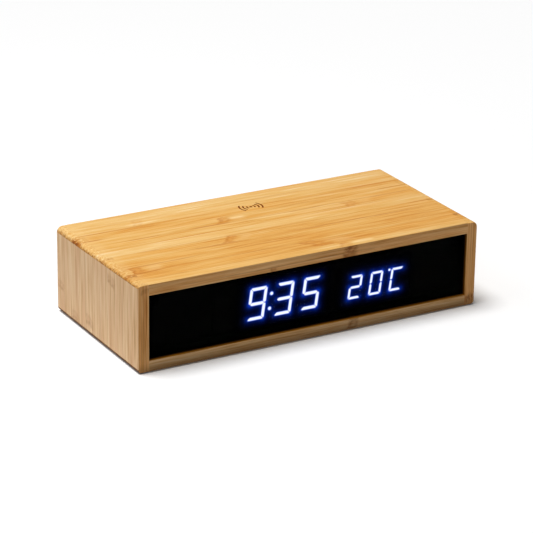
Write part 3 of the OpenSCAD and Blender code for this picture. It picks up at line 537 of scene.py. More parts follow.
# Looks of the bamboo: tones from dark to light streaks, the tint of slow clouds, glue lines and knuckles.
# The grain is its sway, flames, fibres, and how much the strips differ in tone.
TOP_LOOK = dict(
    tones=((198, 122, 32), (216, 153, 65), (226, 175, 95), (232, 189, 118), (242, 210, 156)),
    tint=(230, 168, 80), tint_weight=0.3, line=(186, 108, 22), line_weight=0.5, knuckle=(204, 132, 42),
    pale=(250, 218, 158), gloss=0.16, grain=(1.0, 1.0, 1.4, 0.42))
EDGE_LOOK = dict(
    tones=((178, 110, 46), (213, 148, 80), (231, 170, 103), (249, 201, 140)), tint=(214, 158, 92),
    tint_weight=0.3, line=(134, 76, 30), line_weight=0.38, knuckle=(166, 100, 44), pale=(240, 186, 126),
    gloss=0.14, grain=(1.0, 1.0, 2.0, 0.42))
LOW_EDGE_LOOK = dict(
    EDGE_LOOK, tint=(216, 170, 108), knuckle=(158, 108, 54),
    tones=((172, 118, 62), (210, 158, 98), (231, 183, 125), (248, 212, 164)))
SIDE_LOOK = dict(
    tones=((202, 151, 99), (229, 186, 136), (242, 202, 155), (255, 224, 181)), tint=(233, 184, 140),
    tint_weight=0.5, line=(178, 126, 79), line_weight=0.35, knuckle=(204, 151, 107), pale=(247, 212, 165),
    gloss=0.14, grain=(0.8, 1.3, 1.9, 0.26))
# Painted shade: dark tones for the rounding under the sides, where the case meets the floor
FOOT_EDGE_LOOK = dict(
    EDGE_LOOK, tint=(116, 70, 30), line=(60, 32, 10), gloss=0.06,
    tones=((84, 46, 14), (122, 76, 34), (152, 102, 52)))
# Painted highlight: pale tones for the upper half of the eased edges
WORN_LOOK = dict(TOP_LOOK, gloss=0.2, tones=((228, 172, 86), (238, 189, 107), (246, 205, 131)))
# Painted shade: darker tones for the inner faces round the opening
REVEAL_LOOK = dict(
    EDGE_LOOK, tint=(180, 112, 22), gloss=0.06, tones=((148, 88, 14), (184, 116, 26), (210, 144, 50)))
PORE_TONE = (140, 76, 22)
BLOT_TONE = (180, 108, 30)
# Pale flecks of painted highlight on the rounded ends
END_FLECK = (252, 226, 168)
END_STAIN = (206, 140, 54)
# Tones of painted shade: towards the floor and edges, and deep into the opening
DUSK_TONE = (98, 62, 25)
DEEP_TONE = (5, 3, 1)

# Top, with its strips counted from the front
TOP_SEED = 5.8
TOP_SHIFT = 35.0 - 10 * STRIP
TOP_KNUCKLES = (
    (7, -17.0, 4.4, 0.5, 0.75), (4, -26.7, 4.0, 0.8, 0.8), (2, -86.0, 4.6, 0.1, 1.0),
    (6, 51.3, 4.4, 0.2, 0.5), (1, 8.0, 6.5, -0.6, 0.75), (9, -57.3, 4.0, 0.4, 0.25), (0, 19.5, 4.6, 0.2, 0.5))
TOP_STROKES = (
    (18.4, -99, -80, 1.0, 0.85), (10.6, -75, -52, 0.8, 0.6), (10.9, -42, -13, 1.0, 0.8),
    (-6.3, -77, -62, 0.7, 0.5), (-14.1, -54, -20, 0.9, 0.65), (-22.7, -95, -48, 0.9, 0.6),
    (-22.4, -40, 4, 0.7, 0.5), (-30.3, -93, -72, 0.9, 0.9), (10.3, 14, 40, 0.9, 0.6),
    (10.3, 60, 94, 0.9, 0.5), (-14.4, -8, 92, 0.65, 0.9), (18.1, 2, 48, 0.7, 0.4),
    (18.3, 72, 97, 1.0, 0.5), (-6.6, 76, 95, 0.8, 0.8), (24.6, 10, 97, 0.9, 0.35),
    (26.4, -99, -50, 1.0, 0.5), (-38.4, -92, -56, 0.7, 0.4), (34.8, -10, 40, 0.7, 0.3))
TOP_PALE = (
    (15.6, -15, -4, 2.0, 0.7), (-41.0, 22, 38, 1.9, 0.8), (29.8, -66, -46, 2.4, 0.5), (6.5, 14, 60, 2.6, 0.3),
    (-1.5, -80, -20, 3.0, 0.3))
# Towards the left end the strips turn paler; towards the right end they darken, painted shade
TOP_ENDS = ((-84, -92, 0.2, "pale"), (10, 95, 0.1, "line"))

# Rounded ends: where their mottling begins, height and tilt of their lower border, and stained places
END_CUT = (89.4, 92.6)
END_BORDER = (42.85, 0.0167)
END_BLOTS = ((22.5, 6.4, 1.0), (-31.5, 2.4, 0.6), (-7.0, 2.0, 0.5), (40.0, 1.6, 0.4))

# Edges and sides: knuckles, knots, and painted shade: darker towards the floor, towards the top of the top
# board's front and of the sides, and into the opening.
# A knot is its middle, half its width, a place, a reach, a slope and a weight.
EDGE_SHIFT = 0.8
EDGE_SEED = 8.0
EDGE_KNUCKLES = ((4, 20.5, 4.6, 0.2, 1.0), (5, 22.5, 4.8, 0.2, 1.0), (4, -22.0, 2.4, 0.0, 0.6))
LOW_EDGE_KNUCKLES = ((0, 24.0, 3.6, 0.2, 0.7),)
SIDE_SEED = 114.8
SIDE_SHIFT = 20.5 - 8 * STRIP
SIDE_KNUCKLES = (
    (3, 38.0, 3.6, 0.3, 0.5), (10, 15.5, 3.0, 0.2, 0.4), (8, 5.0, 3.4, 0.0, 0.4), (6, 8.0, 3.8, 0.3, 0.5))
UPRIGHT_STRIP = 1.2
UPRIGHT_KNOTS = ((92.3, 3.2, 4.6, 2.8, 0.2, 0.85), (-91.4, 2.4, 42.0, 1.8, 0.2, 0.4))
EDGE_DUSK = (45.5, 41.0, 0.2)
LOW_EDGE_DUSK = (0.8, 7.0, 0.62)
UPRIGHT_DUSK = (0.8, 6.0, 0.4)
SIDE_DUSK = (43.0, 6.0, 0.09)
REVEAL_DEEP = (42.7, 44.9, 0.95)
top_face = bamboo(
    "top_face", LENGTH, DEPTH, TOP_LOOK, TOP_SHIFT, TOP_SEED, TOP_KNUCKLES, strokes=TOP_STROKES,
    pale=TOP_PALE, ends=TOP_ENDS)
upper_edge = bamboo(
    "upper_edge", LENGTH, HEIGHT, EDGE_LOOK, EDGE_SHIFT, EDGE_SEED, EDGE_KNUCKLES, dusk=EDGE_DUSK)
lower_edge = bamboo(
    "lower_edge", LENGTH, HEIGHT, LOW_EDGE_LOOK, EDGE_SHIFT, EDGE_SEED, LOW_EDGE_KNUCKLES,
    dusk=LOW_EDGE_DUSK)
side_face = bamboo(
    "side_face", HEIGHT, DEPTH, SIDE_LOOK, SIDE_SHIFT, SIDE_SEED, SIDE_KNUCKLES, dusk=SIDE_DUSK)
upright_edge = bamboo(
    "upright_edge", HEIGHT, LENGTH, EDGE_LOOK, 0.3, 11.0, strip=UPRIGHT_STRIP, dusk=UPRIGHT_DUSK,
    knots=UPRIGHT_KNOTS)
# Eased upper edges, pale with painted highlight
worn_edge = bamboo("sanded_edge", LENGTH, DEPTH, WORN_LOOK, TOP_SHIFT, 3.0)
# Inner faces round the opening, dark with painted shade
long_reveal = bamboo("long_reveal", LENGTH, DEPTH, REVEAL_LOOK, TOP_SHIFT, 4.0, deep=REVEAL_DEEP)
upright_reveal = bamboo("upright_reveal", HEIGHT, DEPTH, REVEAL_LOOK, TOP_SHIFT, 6.0, deep=REVEAL_DEEP)
# Rounding under the sides, dark with painted shade
foot_edge = bamboo("foot_edge", HEIGHT, DEPTH, FOOT_EDGE_LOOK, SIDE_SHIFT, 9.0)
strip_ends = rounded_ends("bamboo_strip_ends")


# Other finishes


def streaked(name, dark, light, axes, rough, gloss, relief):
    """Burnt or sawn wood with streaks that its axes stretch."""
    spot, dress = new_finish(name)
    streak = noise(point(*along(spot, *axes)), detail=3.0)
    return dress(mix(stretch(streak), dark, light), stretch(streak, *rough),
                 Specular_IOR_Level=gloss, Normal=bump(streak, 0.3, relief))


def moulded(name, dark, light, grain=5.0, rough=(0.42, 0.6), relief=0.18, gloss=0.4):
    """Moulded plastic or rubber with a fine grain."""
    spot, dress = new_finish(name)
    pebble, cloud = moulded_grain(*along(spot, LENGTH, DEPTH, HEIGHT), grain)
    return dress(mix(cloud, dark, light), stretch(cloud, *rough), Specular_IOR_Level=gloss,
                 Normal=bump(pebble, relief, 0.03))


def metal(name, dark, light, drawn=HEIGHT, rough=(0.22, 0.4)):
    """Metal with fine drawing or turning marks."""
    spot, dress = new_finish(name)
    run, lane = along(spot, drawn, (0.3, 0.2, 0.1))
    marks = noise(point(run * 9.0, lane, 0.0), detail=3.0)
    return dress(mix(noise(spot, scale=0.3), dark, light), stretch(marks, *rough), Metallic=1.0,
                 Normal=bump(marks, 0.12, 0.01))


def circuit(name, mask_dark, mask_light, copper):
    """Solder mask over copper tracks, with bare pads."""
    spot, dress = new_finish(name)
    lie = point(*along(spot, LENGTH, (0, 0.7, 1)), 0.0)
    bricks = {"Vector": lie, "Scale": 0.42, "Mortar Size": 0.09, "Mortar Smooth": 0.1}
    track = laid("ShaderNodeTexBrick", bricks, "Fac", offset=0.37, squash=1.6, squash_frequency=3)
    pad = fall(cells(spot, 0.27), 0.1, 0.13)
    colour = mix(pad, mix(track, mask_dark, mask_light), copper)
    return dress(colour, step(pad, 0.0, 1.0, 0.42, 0.28), Metallic=pad, Normal=bump(track, 0.2, 0.03))


TURNED = (1, 0, 0.4)
CHAR_AXES = ((0.6, 0, 0), (0, 3, 0), (0, 0, 0))
SAWN_AXES = ((0, 0, 0.05), (0.9, 0.2, 0), (0.1, 0.9, 0))
burnt_mark = streaked("burnt_bamboo", (98, 34, 0), (130, 54, 2), CHAR_AXES, (0.85, 0.7), 0.02, 0.05)
sawn_pine = streaked("glue_block_pine", (176, 128, 76), (214, 172, 118), SAWN_AXES, (0.7, 0.82), 0.2, 0.1)
black_abs = moulded("black_abs_grain", (24, 24, 25), (33, 33, 34))
key_plastic = moulded("key_plastic_grain", (38, 38, 40), (47, 47, 49), 7.0, (0.34, 0.5))
door_plastic = moulded("door_plastic_grain", (26, 26, 28), (36, 36, 37), 5.5)
foot_rubber = moulded("foot_rubber_skin", (20, 20, 21), (31, 31, 31), 3.5, (0.72, 0.88), 0.3, 0.25)
print_white = moulded("pad_print_white", (196, 197, 198), (214, 214, 214), 9.0, (0.5, 0.62), 0.05)
screw_steel = metal("screw_steel_turned", (150, 152, 155), (186, 188, 190), TURNED)
screw_black = metal("screw_black_oxide", (12, 12, 13), (20, 20, 21), TURNED, (0.5, 0.65))
shell_steel = metal("shell_steel_drawn", (168, 170, 172), (204, 205, 207), DEPTH, (0.16, 0.3))
contact_gold = metal("contact_gold_plate", (196, 152, 74), (226, 186, 108), LENGTH, (0.2, 0.34))
FINISHES = dict(
    glue_block=sawn_pine,
    black_tape=moulded("tape_foam", (16, 16, 17), (26, 26, 27), 4.0, (0.8, 0.92), gloss=0.2),
    black_abs=black_abs,
    dark_resin=moulded("segment_resin_dark", (21, 21, 24), (27, 27, 31), 9.0, (0.4, 0.5), 0.05),
    chip_ceramic=moulded("chip_ceramic_white", (214, 208, 176), (232, 228, 204), 8.0),
    circuit_board=circuit("board_green_mask", (12, 66, 38), (22, 92, 54), (206, 160, 92)),
    chip_epoxy=moulded("chip_epoxy_black", (18, 18, 19), (30, 30, 31), 6.0, (0.5, 0.66)),
    screw_steel=screw_steel,
    ribbon_film=moulded("ribbon_film_white", (206, 206, 204), (226, 226, 222), 2.0),
    socket_plastic=moulded("socket_nylon", (214, 208, 192), (232, 228, 214), 6.0),
    key_plastic=key_plastic,
    door_plastic=door_plastic,
    plunger_plastic=moulded("plunger_nylon", (44, 40, 36), (62, 56, 50), 7.0),
    can_metal=metal("can_metal_drawn", (150, 150, 148), (190, 190, 186)),
    capacitor_sleeve=moulded("capacitor_sleeve_blue", (26, 40, 84), (38, 54, 104), 3.0, (0.3, 0.42)),
    copper_wire=metal("copper_enamel", (150, 74, 34), (190, 104, 56), (0.5, 0.5, 0)),
    ferrite=moulded("ferrite_grey", (40, 40, 42), (62, 61, 60), 2.4, (0.6, 0.75)),
    white_abs=moulded("white_abs_grain", (204, 204, 200), (222, 222, 218)),
    lead_insulation=moulded("lead_insulation_red", (120, 22, 20), (150, 32, 28), 3.0),
    foot_rubber=foot_rubber)


def mm_box(node):
    """Corners of a CAD node's box and its middle, in millimetres."""
    low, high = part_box(node)
    return low / MM, high / MM, (low + high) / 2 / MM


DISPLAY_Y = mm_box("reflector")[0].y
TOP_Z = mm_box("top_board")[1].z
TIME_Z = (mm_box("bottom_board")[0].z + TOP_Z) / 2 - DIGIT_DROP


def lamp_segments():
    """Lit segments and dots: start on X and Z, reach on X and Z, and half a stroke."""
    tilt = tan(radians(SLANT))
    temp_z = TIME_Z - TIME_SIZE[1] / 2 + TEMP_LIFT + TEMP_SIZE[1] / 2
    rows = []
    for first, pitch, z, size, signs in (
            (TIME_X + TIME_PITCH, TIME_PITCH, TIME_Z, TIME_SIZE, (NINE, THREE, FIVE)),
            (TEMP_X, TEMP_PITCH, temp_z, TEMP_SIZE, (TWO, ZERO, CELSIUS))):
        width, height, stroke = size
        side = (width - stroke) / 2
        rise = (height - stroke) / 2
        lean = tilt * rise
        for number, lit in enumerate(signs):
            for segment in lit:
                a, b, c, d = SEGMENTS[segment]
                start = (first + number * pitch + side * a + lean * b, z + rise * b)
                rows.append((*start, side * (c - a) + lean * (d - b), rise * (d - b), stroke / 2))
    for sign in (1, -1):
        rise = sign * COLON_SHARE * TIME_SIZE[1]
        rows.append((TIME_X + 1.5 * TIME_PITCH + tilt * rise, TIME_Z + rise, 0, 0, COLON_R))
    degree_x = TEMP_X + 2 * TEMP_PITCH - TEMP_SIZE[0] / 2 - DEGREE_OUT
    rows.append((degree_x, temp_z + TEMP_SIZE[1] / 2 - DEGREE_FALL, 0, 0, DEGREE_R))
    return rows


def segment_lights(spot, trim=0.0):
    """Glow and core of every lit segment, less its trimmed ends."""
    x, z = along(spot, LENGTH, HEIGHT)
    for start_x, start_z, reach_x, reach_z, half in lamp_segments():
        cut = trim / max(hypot(reach_x, reach_z), 2 * trim, 0.001)
        left = 1 - 2 * cut
        yield segment_glow(x, z, start_x + cut * reach_x, start_z + cut * reach_z,
                           left * reach_x, left * reach_z, half, GLOW_SPREAD)


def display_black(name):
    """Black plastic round the segments, with the blue light that spreads over it."""
    spot, dress = new_finish(name)
    total = 0.0
    for glow, _ in segment_lights(spot):
        total = glow + total
    front = fall(along(spot, DEPTH), DISPLAY_Y + 0.02, DISPLAY_Y + 0.1)
    colour = mix(total * front * GLOW_LEVEL, (0, 0, 0), GLOW_TONE)
    cloud = noise(spot, scale=0.4)
    return dress(mix(cloud, (5, 5, 6), (9, 9, 10)), stretch(cloud, 0.7, 0.85),
                 Specular_IOR_Level=0.1, Emission_Color=colour, Emission_Strength=GLOW_STRENGTH)


def lit_resin(name):
    """Resin lit from behind: white along the middle of a stroke, blue at its edges."""
    spot, dress = new_finish(name)
    cloud = noise(spot, scale=0.8)
    total = 0.0
    for _, core in segment_lights(spot, STROKE_TRIM):
        total = largest(total, core)
    colour = mix(step(total, 0.0, CORE_REACH), STROKE_EDGE, mix(cloud, STROKE_CORE, (255, 255, 255)))
    return dress((70, 80, 110), stretch(cloud, 0.35, 0.45), Emission_Color=colour,
                 Emission_Strength=SEGMENT_STRENGTH)


def smoked_acrylic(name):
    """Dark see-through acrylic, polished, with a breath of haze."""
    spot, dress = new_finish(name)
    haze = noise(spot, scale=0.05, detail=4.0)
    return dress(SMOKE_TONE, step(haze, 0.35, 0.65, 0.015, 0.045), IOR=SMOKE_IOR,
                 Specular_Tint=SMOKE_GLOSS, Transmission_Weight=1.0)


display_skin = display_black("display_black_glow")
FINISHES["lit_resin"] = lit_resin("segment_resin_lit")
panel_skin = smoked_acrylic("smoked_acrylic_polish")


# Mesh helpers


def link(made):
    bpy.context.scene.collection.objects.link(made)
    return made


def linked(bm, name, finishes=()):
    """New object in the scene from a bmesh in metres, which is used up."""
    mesh = bpy.data.meshes.new(name)
    bm.to_mesh(mesh)
    bm.free()
    for finish in finishes:
        mesh.materials.append(finish)
    return link(bpy.data.objects.new(name, mesh))


def settle(made, body, slot, replaced=()):
    """Let a piece ride on a body and stand for CAD nodes. The slot is not used."""
    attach(made, body)
    if replaced:
        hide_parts(*replaced)
    return made


def bake_modifiers(piece):
    """Put what the modifiers make into the piece's own mesh."""
    graph = bpy.context.evaluated_depsgraph_get()
    shaped = piece.evaluated_get(graph)
    made = bpy.data.meshes.new_from_object(shaped, preserve_all_data_layers=True, depsgraph=graph)
    piece.modifiers.clear()
    old = piece.data
    made.name = old.name
    piece.data = made
    bpy.data.meshes.remove(old)


def cut_out(piece, bm, crossed=False):
    """Take a closed form, or forms that cross each other, out of a piece."""
    cutter = linked(bm, "cutter")
    having(piece.modifiers.new("cut", "BOOLEAN"), operation="DIFFERENCE", solver="EXACT", use_self=crossed,
           object=cutter)
    bake_modifiers(piece)
    bpy.data.objects.remove(cutter)


def slanted(normal):
    """Whether a face is square to no axis, so that it shades smoothly."""
    return max(abs(part) for part in normal) < SQUARE


def smooth_by_angle(piece, limit):
    piece.data.shade_smooth()
    piece.data.set_sharp_from_angle(angle=radians(limit))


def quarter(steps):
    """Angles of a quarter turn, its ends included."""
    return [radians(90) * i / steps for i in range(steps + 1)]


def round_at(radius, turn):
    """Place on a circle, by an angle in degrees."""
    return (radius * cos(radians(turn)), radius * sin(radians(turn)))


def vertex(bm, *place):
    return bm.verts.new(Vector(place) * MM)


def cover(bm, rings):
    """Faces from ring to ring of corners and over both ends; a ring may be a point."""
    for low, high in zip(rings, rings[1:]):
        count = max(len(low), len(high))
        for i in range(count):
            j = (i + 1) % count
            corners = [low[i % len(low)], low[j % len(low)], high[j % len(high)], high[i % len(high)]]
            bm.faces.new(list(dict.fromkeys(corners)))
    for ring in (rings[0], rings[-1]):
        if len(ring) > 1:
            bm.faces.new(ring)
    bmesh.ops.recalc_face_normals(bm, faces=bm.faces)


def lathed(profile, at, axis, steps):
    """Closed turned form by a profile of radius and height along Y or Z."""
    bm = bmesh.new()
    rings = []
    for radius, height in profile:
        ring = []
        for i in range(steps if radius > 0 else 1):
            a, b = round_at(radius, 360 * i / steps)
            place = (a, height, b) if axis == "Y" else (a, b, height)
            ring.append(vertex(bm, *(Vector(at) + Vector(place))))
        rings.append(ring)
    cover(bm, rings)
    return bm


# Case


def inset_outline(points, amounts):
    """Convex outline with each edge moved inwards by its own amount."""
    corners = [Vector(place) for place in points]
    lines = []
    for a, b, amount in zip(corners, corners[1:] + corners[:1], amounts):
        run = (b - a).normalized()
        lines.append((a + Vector((-run.y, run.x)) * amount, run))
    return [p + r * ((q - p).cross(s) / r.cross(s)) for (p, r), (q, s) in zip(lines[-1:] + lines, lines)]


def board(name, node, outline_at, eases, finish_for, finishes):
    """Board along Y with an outline for each depth, eased round its front and back."""
    low, high, _ = mm_box(node)
    bm = bmesh.new()
    reach = max(eases)
    turns = quarter(EASE_STEPS)
    places = [(low.y + reach * (1 - cos(t)), 1 - sin(t)) for t in turns]
    places += [(high.y - reach * (1 - cos(t)), 1 - sin(t)) for t in reversed(turns)]
    rings = []
    for y, share in places:
        ring = inset_outline(outline_at(y), [ease * share for ease in eases])
        rings.append([vertex(bm, x, y, z) for x, z in ring])
    cover(bm, rings)
    for face in bm.faces:
        middle = face.calc_center_median().y / MM
        eased = min(middle - low.y, high.y - middle) < reach * 0.99 and abs(face.normal.y) < SQUARE
        face.material_index = finishes.index(finish_for(face.normal, eased))
        face.smooth = slanted(face.normal)
    return settle(linked(bm, name, finishes), "case", "bamboo", (node,))


def side_board(name, node, sign):
    """Side of the case: fibres upright, both long outer edges rounded."""
    low, high, _ = mm_box(node)
    outer = max(abs(low.x), abs(high.x))
    inner = min(abs(low.x), abs(high.x))
    front_round = LEFT_FRONT_ROUND if sign < 0 else EDGE_ROUND
    arc = quarter(ROUND_STEPS)

    def outline_at(y):
        radius = front_round + (EDGE_ROUND - front_round) * (y - low.y) / (high.y - low.y)
        upper = outer - radius
        under = outer - UNDER_ROUND
        points = [(inner, high.z), (inner, low.z)]
        points += [(under + UNDER_ROUND * sin(t), low.z + UNDER_ROUND * (1 - cos(t))) for t in arc]
        points += [(upper + radius * cos(t), high.z - radius * (1 - sin(t))) for t in arc]
        if sign < 0:
            points = [points[0]] + list(reversed(points[1:]))
        return [(sign * x, z) for x, z in points]

    def finish_for(normal, eased):
        # Inner faces take the painted shade unless eased
        if normal.x * sign < -FACING:
            return upright_edge if eased else upright_reveal
        if abs(normal.y) > FRONT_FROM:
            return upright_edge
        # Downward rounding: painted shade
        if normal.z < -FOOT_FROM:
            return foot_edge
        # Eased faces that face up take the painted highlight
        if normal.z > ROUND_FROM:
            return worn_edge if eased and normal.z > WORN_FROM else strip_ends
        return side_face

    eases = [OUTER_EASE] * (2 + 2 * len(arc))
    eases[0 if sign > 0 else -1] = JOINT_EASE
    board(name, node, outline_at, eases, finish_for,
          (side_face, upright_edge, strip_ends, upright_reveal, worn_edge, foot_edge))


def flat_board(name, node, eases, outward):
    """Top or bottom of the case, with its outward face up or down."""
    low, high, _ = mm_box(node)
    outline = [(low.x, low.z), (high.x, low.z), (high.x, high.z), (low.x, high.z)]
    front_edge = upper_edge if outward > 0 else lower_edge

    def finish_for(normal, eased):
        # Inner face: painted shade
        if normal.z * outward < -FACING:
            return long_reveal
        # Eased outward faces: painted highlight
        if eased and normal.z * outward > WORN_FROM:
            return worn_edge
        return front_edge if abs(normal.y) > FACING else top_face

    return board(name, node, lambda y: outline, eases, finish_for,
                 (top_face, front_edge, burnt_mark, long_reveal, worn_edge))


def burn_mark(top):
    """Sink the wave mark into the top board: arcs to both sides of a dot."""
    bm = bmesh.new()
    low = TOP_Z - MARK_DEPTH
    high = TOP_Z + MARK_CLEAR
    for side in (0, 180):
        for number in range(MARK_WAVES):
            inner = MARK_R + number * MARK_STEP - MARK_LINE / 2
            outer = inner + MARK_LINE
            rings = []
            for i in range(MARK_STEPS + 1):
                turn = side - MARK_ANGLE + 2 * MARK_ANGLE * i / MARK_STEPS
                section = [(*round_at(radius, turn), z) for radius, z in
                           ((inner, low), (outer, low), (outer, high), (inner, high))]
                rings.append([vertex(bm, MARK_AT[0] + x, MARK_AT[1] + y, z) for x, y, z in section])
            cover(bm, rings)
    middle = Vector((*MARK_AT, (low + high) / 2)) * MM
    radius = MARK_DOT_R * MM
    bmesh.ops.create_cone(bm, cap_ends=True, segments=MARK_DOT_STEPS, radius1=radius, radius2=radius,
                          depth=(high - low) * MM, matrix=Matrix.Translation(middle))
    bmesh.ops.recalc_face_normals(bm, faces=bm.faces)
    cut_out(top, bm)
    burnt_slot = top.data.materials.find(burnt_mark.name)
    for face in top.data.polygons:
        x, y, z = face.center / MM
        near = max(abs(x - MARK_AT[0]), abs(y - MARK_AT[1])) < MARK_REACH
        if near and low - MARK_SKIN < z < TOP_Z - MARK_SKIN:
            face.material_index = burnt_slot


side_board("left_side_board", "left_side", -1)
side_board("right_side_board", "right_side", 1)
burn_mark(flat_board("top_board_eased", "top_board", (INNER_EASE, JOINT_EASE, TOP_EASE, JOINT_EASE), 1))
flat_board("bottom_board_eased", "bottom_board", (OUTER_EASE, JOINT_EASE, INNER_EASE, JOINT_EASE), -1)


# Panels, door, inlet and keys


def eased_copy(node, name, width, finish, body, slot):
    """Copy of a CAD node with its sharp edges rounded a little."""
    bm = bmesh.new()
    bm.from_mesh(frame["nodes"][node].data)
    bmesh.ops.remove_doubles(bm, verts=bm.verts, dist=WELD * MM)
    bmesh.ops.dissolve_limit(bm, angle_limit=radians(FLAT_WITHIN), verts=bm.verts, edges=bm.edges)
    made = linked(bm, name, (finish,))
    having(made.modifiers.new("ease", "BEVEL"), width=width * MM, segments=2, limit_method="ANGLE",
           angle_limit=radians(EASE_FROM), use_clamp_overlap=False)
    bake_modifiers(made)
    bm = bmesh.new()
    bm.from_mesh(made.data)
    bmesh.ops.triangulate(bm, faces=[face for face in bm.faces if len(face.verts) > 4], ngon_method="BEAUTY")
    bm.to_mesh(made.data)
    bm.free()
    for face in made.data.polygons:
        face.use_smooth = slanted(face.normal)
    settle(made, body, slot, (node,))


def rear_key(node, body):
    """Round key with a lip inside the panel, a rounded rim and a dished top."""
    low, high, middle = mm_box(node)
    lip = (high.x - low.x) / 2
    radius = lip - KEY_LIP
    inside = mm_box("rear_panel")[0].y - KEY_LIP_GAP
    profile = [(0, low.y), (lip, low.y), (lip, inside), (radius, inside)]
    profile += [(radius - KEY_ROUND * (1 - cos(t)), high.y - KEY_ROUND * (1 - sin(t))) for t in quarter(5)]
    hollow = radius - KEY_ROUND - KEY_RIM
    for i in range(1, KEY_DISH_STEPS + 1):
        share = 1 - i / KEY_DISH_STEPS
        profile.append((hollow * share, high.y - KEY_DISH * (1 - share ** 2)))
    bm = lathed(profile, (middle.x, 0, middle.z), "Y", TURN_STEPS)
    made = settle(linked(bm, node + "_dished", (key_plastic,)), body, "key_plastic", (node,))
    smooth_by_angle(made, KEY_SHARP)


eased_copy("front_panel", "front_panel_polished", 0.15, panel_skin, "case", "smoked_acrylic")
eased_copy("rear_panel", "rear_panel_eased", 0.18, black_abs, "case", "black_abs")
eased_copy("battery_door", "battery_door_eased", 0.15, door_plastic, "cell_door", "door_plastic")
eased_copy("usb_shell", "usb_shell_drawn", 0.06, shell_steel, "case", "can_metal")
eased_copy("usb_tongue", "usb_tongue_eased", 0.04, black_abs, "case", "chip_epoxy")
for word in ("set", "down", "up", "alarm"):
    rear_key(word + "_key", word + "_button")


# Screws, feet and contacts: copies of one master on a grid


def make_grid_set():
    """Geometry nodes: copies of a master on a grid, each spun by chance, in one finish."""
    tree = bpy.data.node_groups.new("grid_set", "GeometryNodeTree")
    for kind, *labels in (
            ("Geometry", "Geometry"), ("Object", "Master"), ("Int", "Columns", "Rows"),
            ("Float", "Width", "Height"), ("Vector", "Turn", "Centre", "Spin"), ("Material", "Finish")):
        for label in labels:
            tree.interface.new_socket(name=label, in_out="INPUT", socket_type="NodeSocket" + kind)
    tree.interface.new_socket(name="Geometry", in_out="OUTPUT", socket_type="NodeSocketGeometry")
    given = [Value(socket) for socket in tree.nodes.new("NodeGroupInput").outputs]
    _, master, columns, rows, width, height, turn, centre, spin, finish, _ = given
    sizes = {"Size X": width, "Size Y": height, "Vertices X": columns, "Vertices Y": rows}
    grid = laid("GeometryNodeMeshGrid", sizes)
    grid = laid("GeometryNodeTransform", {"Geometry": grid, "Rotation": turn, "Translation": centre})
    master = laid("GeometryNodeObjectInfo", {"Object": master}, "Geometry")
    chance = laid("FunctionNodeRandomValue", {"Max": spin}, "Value", data_type="FLOAT_VECTOR")
    copies = laid("GeometryNodeInstanceOnPoints", {"Points": grid, "Instance": master, "Rotation": chance})
    real = laid("GeometryNodeRealizeInstances", {"Geometry": copies})
    dressed = laid("GeometryNodeSetMaterial", {"Geometry": real, "Material": finish})
    feed(tree.nodes.new("NodeGroupOutput").inputs["Geometry"], dressed)
    return tree


grid_set = make_grid_set()


def spread(name, master, slot, replaced, **values):
    """A master's copies in two rows, as one piece of the case; the master goes afterwards."""
    made = linked(bmesh.new(), name)
    nodes = made.modifiers.new("grid_set", "NODES")
    nodes.node_group = grid_set
    names = {item.name: item.identifier for item in grid_set.interface.items_tree if item.in_out == "INPUT"}
    for label, value in dict(values, Master=master, Rows=2).items():
        nodes[names[label]] = value
    bpy.context.view_layer.update()
    bake_modifiers(made)
    bpy.data.objects.remove(master)
    return settle(made, "case", slot, replaced)


def block(bm, size):
    """Corners of a new block, by its size in millimetres."""
    made = bmesh.ops.create_cube(bm, size=MM)["verts"]
    bmesh.ops.scale(bm, vec=size, verts=made)
    return made


def rear_screws():
    """Four pan-head screws with a cross recess, each turned as it was driven."""
    low, high, middle = mm_box("rear_screws")
    seat = mm_box("rear_panel")[1].y
    shank = low.y - seat
    head = high.y - seat
    crown = SCREW_HEAD_R - SCREW_CROWN_R
    profile = [(0, shank), (SCREW_SHANK_R - SCREW_POINT[0], shank), (SCREW_SHANK_R, shank + SCREW_POINT[1]),
               (SCREW_SHANK_R, 0), (SCREW_HEAD_R, 0)]
    profile += [(SCREW_CROWN_R + crown * cos(t), head * (0.3 + 0.7 * sin(t))) for t in quarter(6)]
    profile.append((0, head))
    master = linked(lathed(profile, (0, 0, 0), "Y", SCREW_STEPS), "screw_master")
    bm = bmesh.new()
    for width, height in ((CROSS_SPAN, CROSS_WIDTH), (CROSS_WIDTH, CROSS_SPAN)):
        corners = block(bm, (width, CROSS_DEPTH * 2, height))
        bmesh.ops.translate(bm, vec=(0, head * MM, 0), verts=corners)
        for vert in corners:
            if vert.co.y < head * MM:
                vert.co.x *= CROSS_TAPER
                vert.co.z *= CROSS_TAPER
    cut_out(master, bm, crossed=True)
    span = high - low - Vector((2, 0, 2)) * SCREW_HEAD_R
    made = spread("rear_screws_driven", master, "screw_steel", ("rear_screws",), Columns=2, Width=span.x * MM,
                  Height=span.z * MM, Turn=(radians(90), 0, 0), Centre=Vector((0, seat, middle.z)) * MM,
                  Spin=(0, radians(90), 0), Finish=screw_steel)
    smooth_by_angle(made, SMALL_SHARP)


def feet():
    """Four stuck-on rubber feet with a rounded rim and a sunk middle."""
    low, high, _ = mm_box("feet")
    span = high - low - Vector((2, 2, 0)) * FOOT_R
    profile = [(0, FOOT_HOLLOW), (FOOT_R * 0.62, FOOT_HOLLOW), (FOOT_R * 0.7, 0), (FOOT_R * 0.9, 0),
               (FOOT_R * 0.97, span.z * 0.2), (FOOT_R, span.z * 0.6), (FOOT_R, span.z), (0, span.z)]
    master = linked(lathed(profile, (0, 0, low.z), "Z", TURN_STEPS), "foot_master")
    made = spread("feet_rubber", master, "foot_rubber", ("feet",), Columns=2, Width=span.x * MM,
                  Height=span.y * MM, Finish=foot_rubber)
    smooth_by_angle(made, SMALL_SHARP)


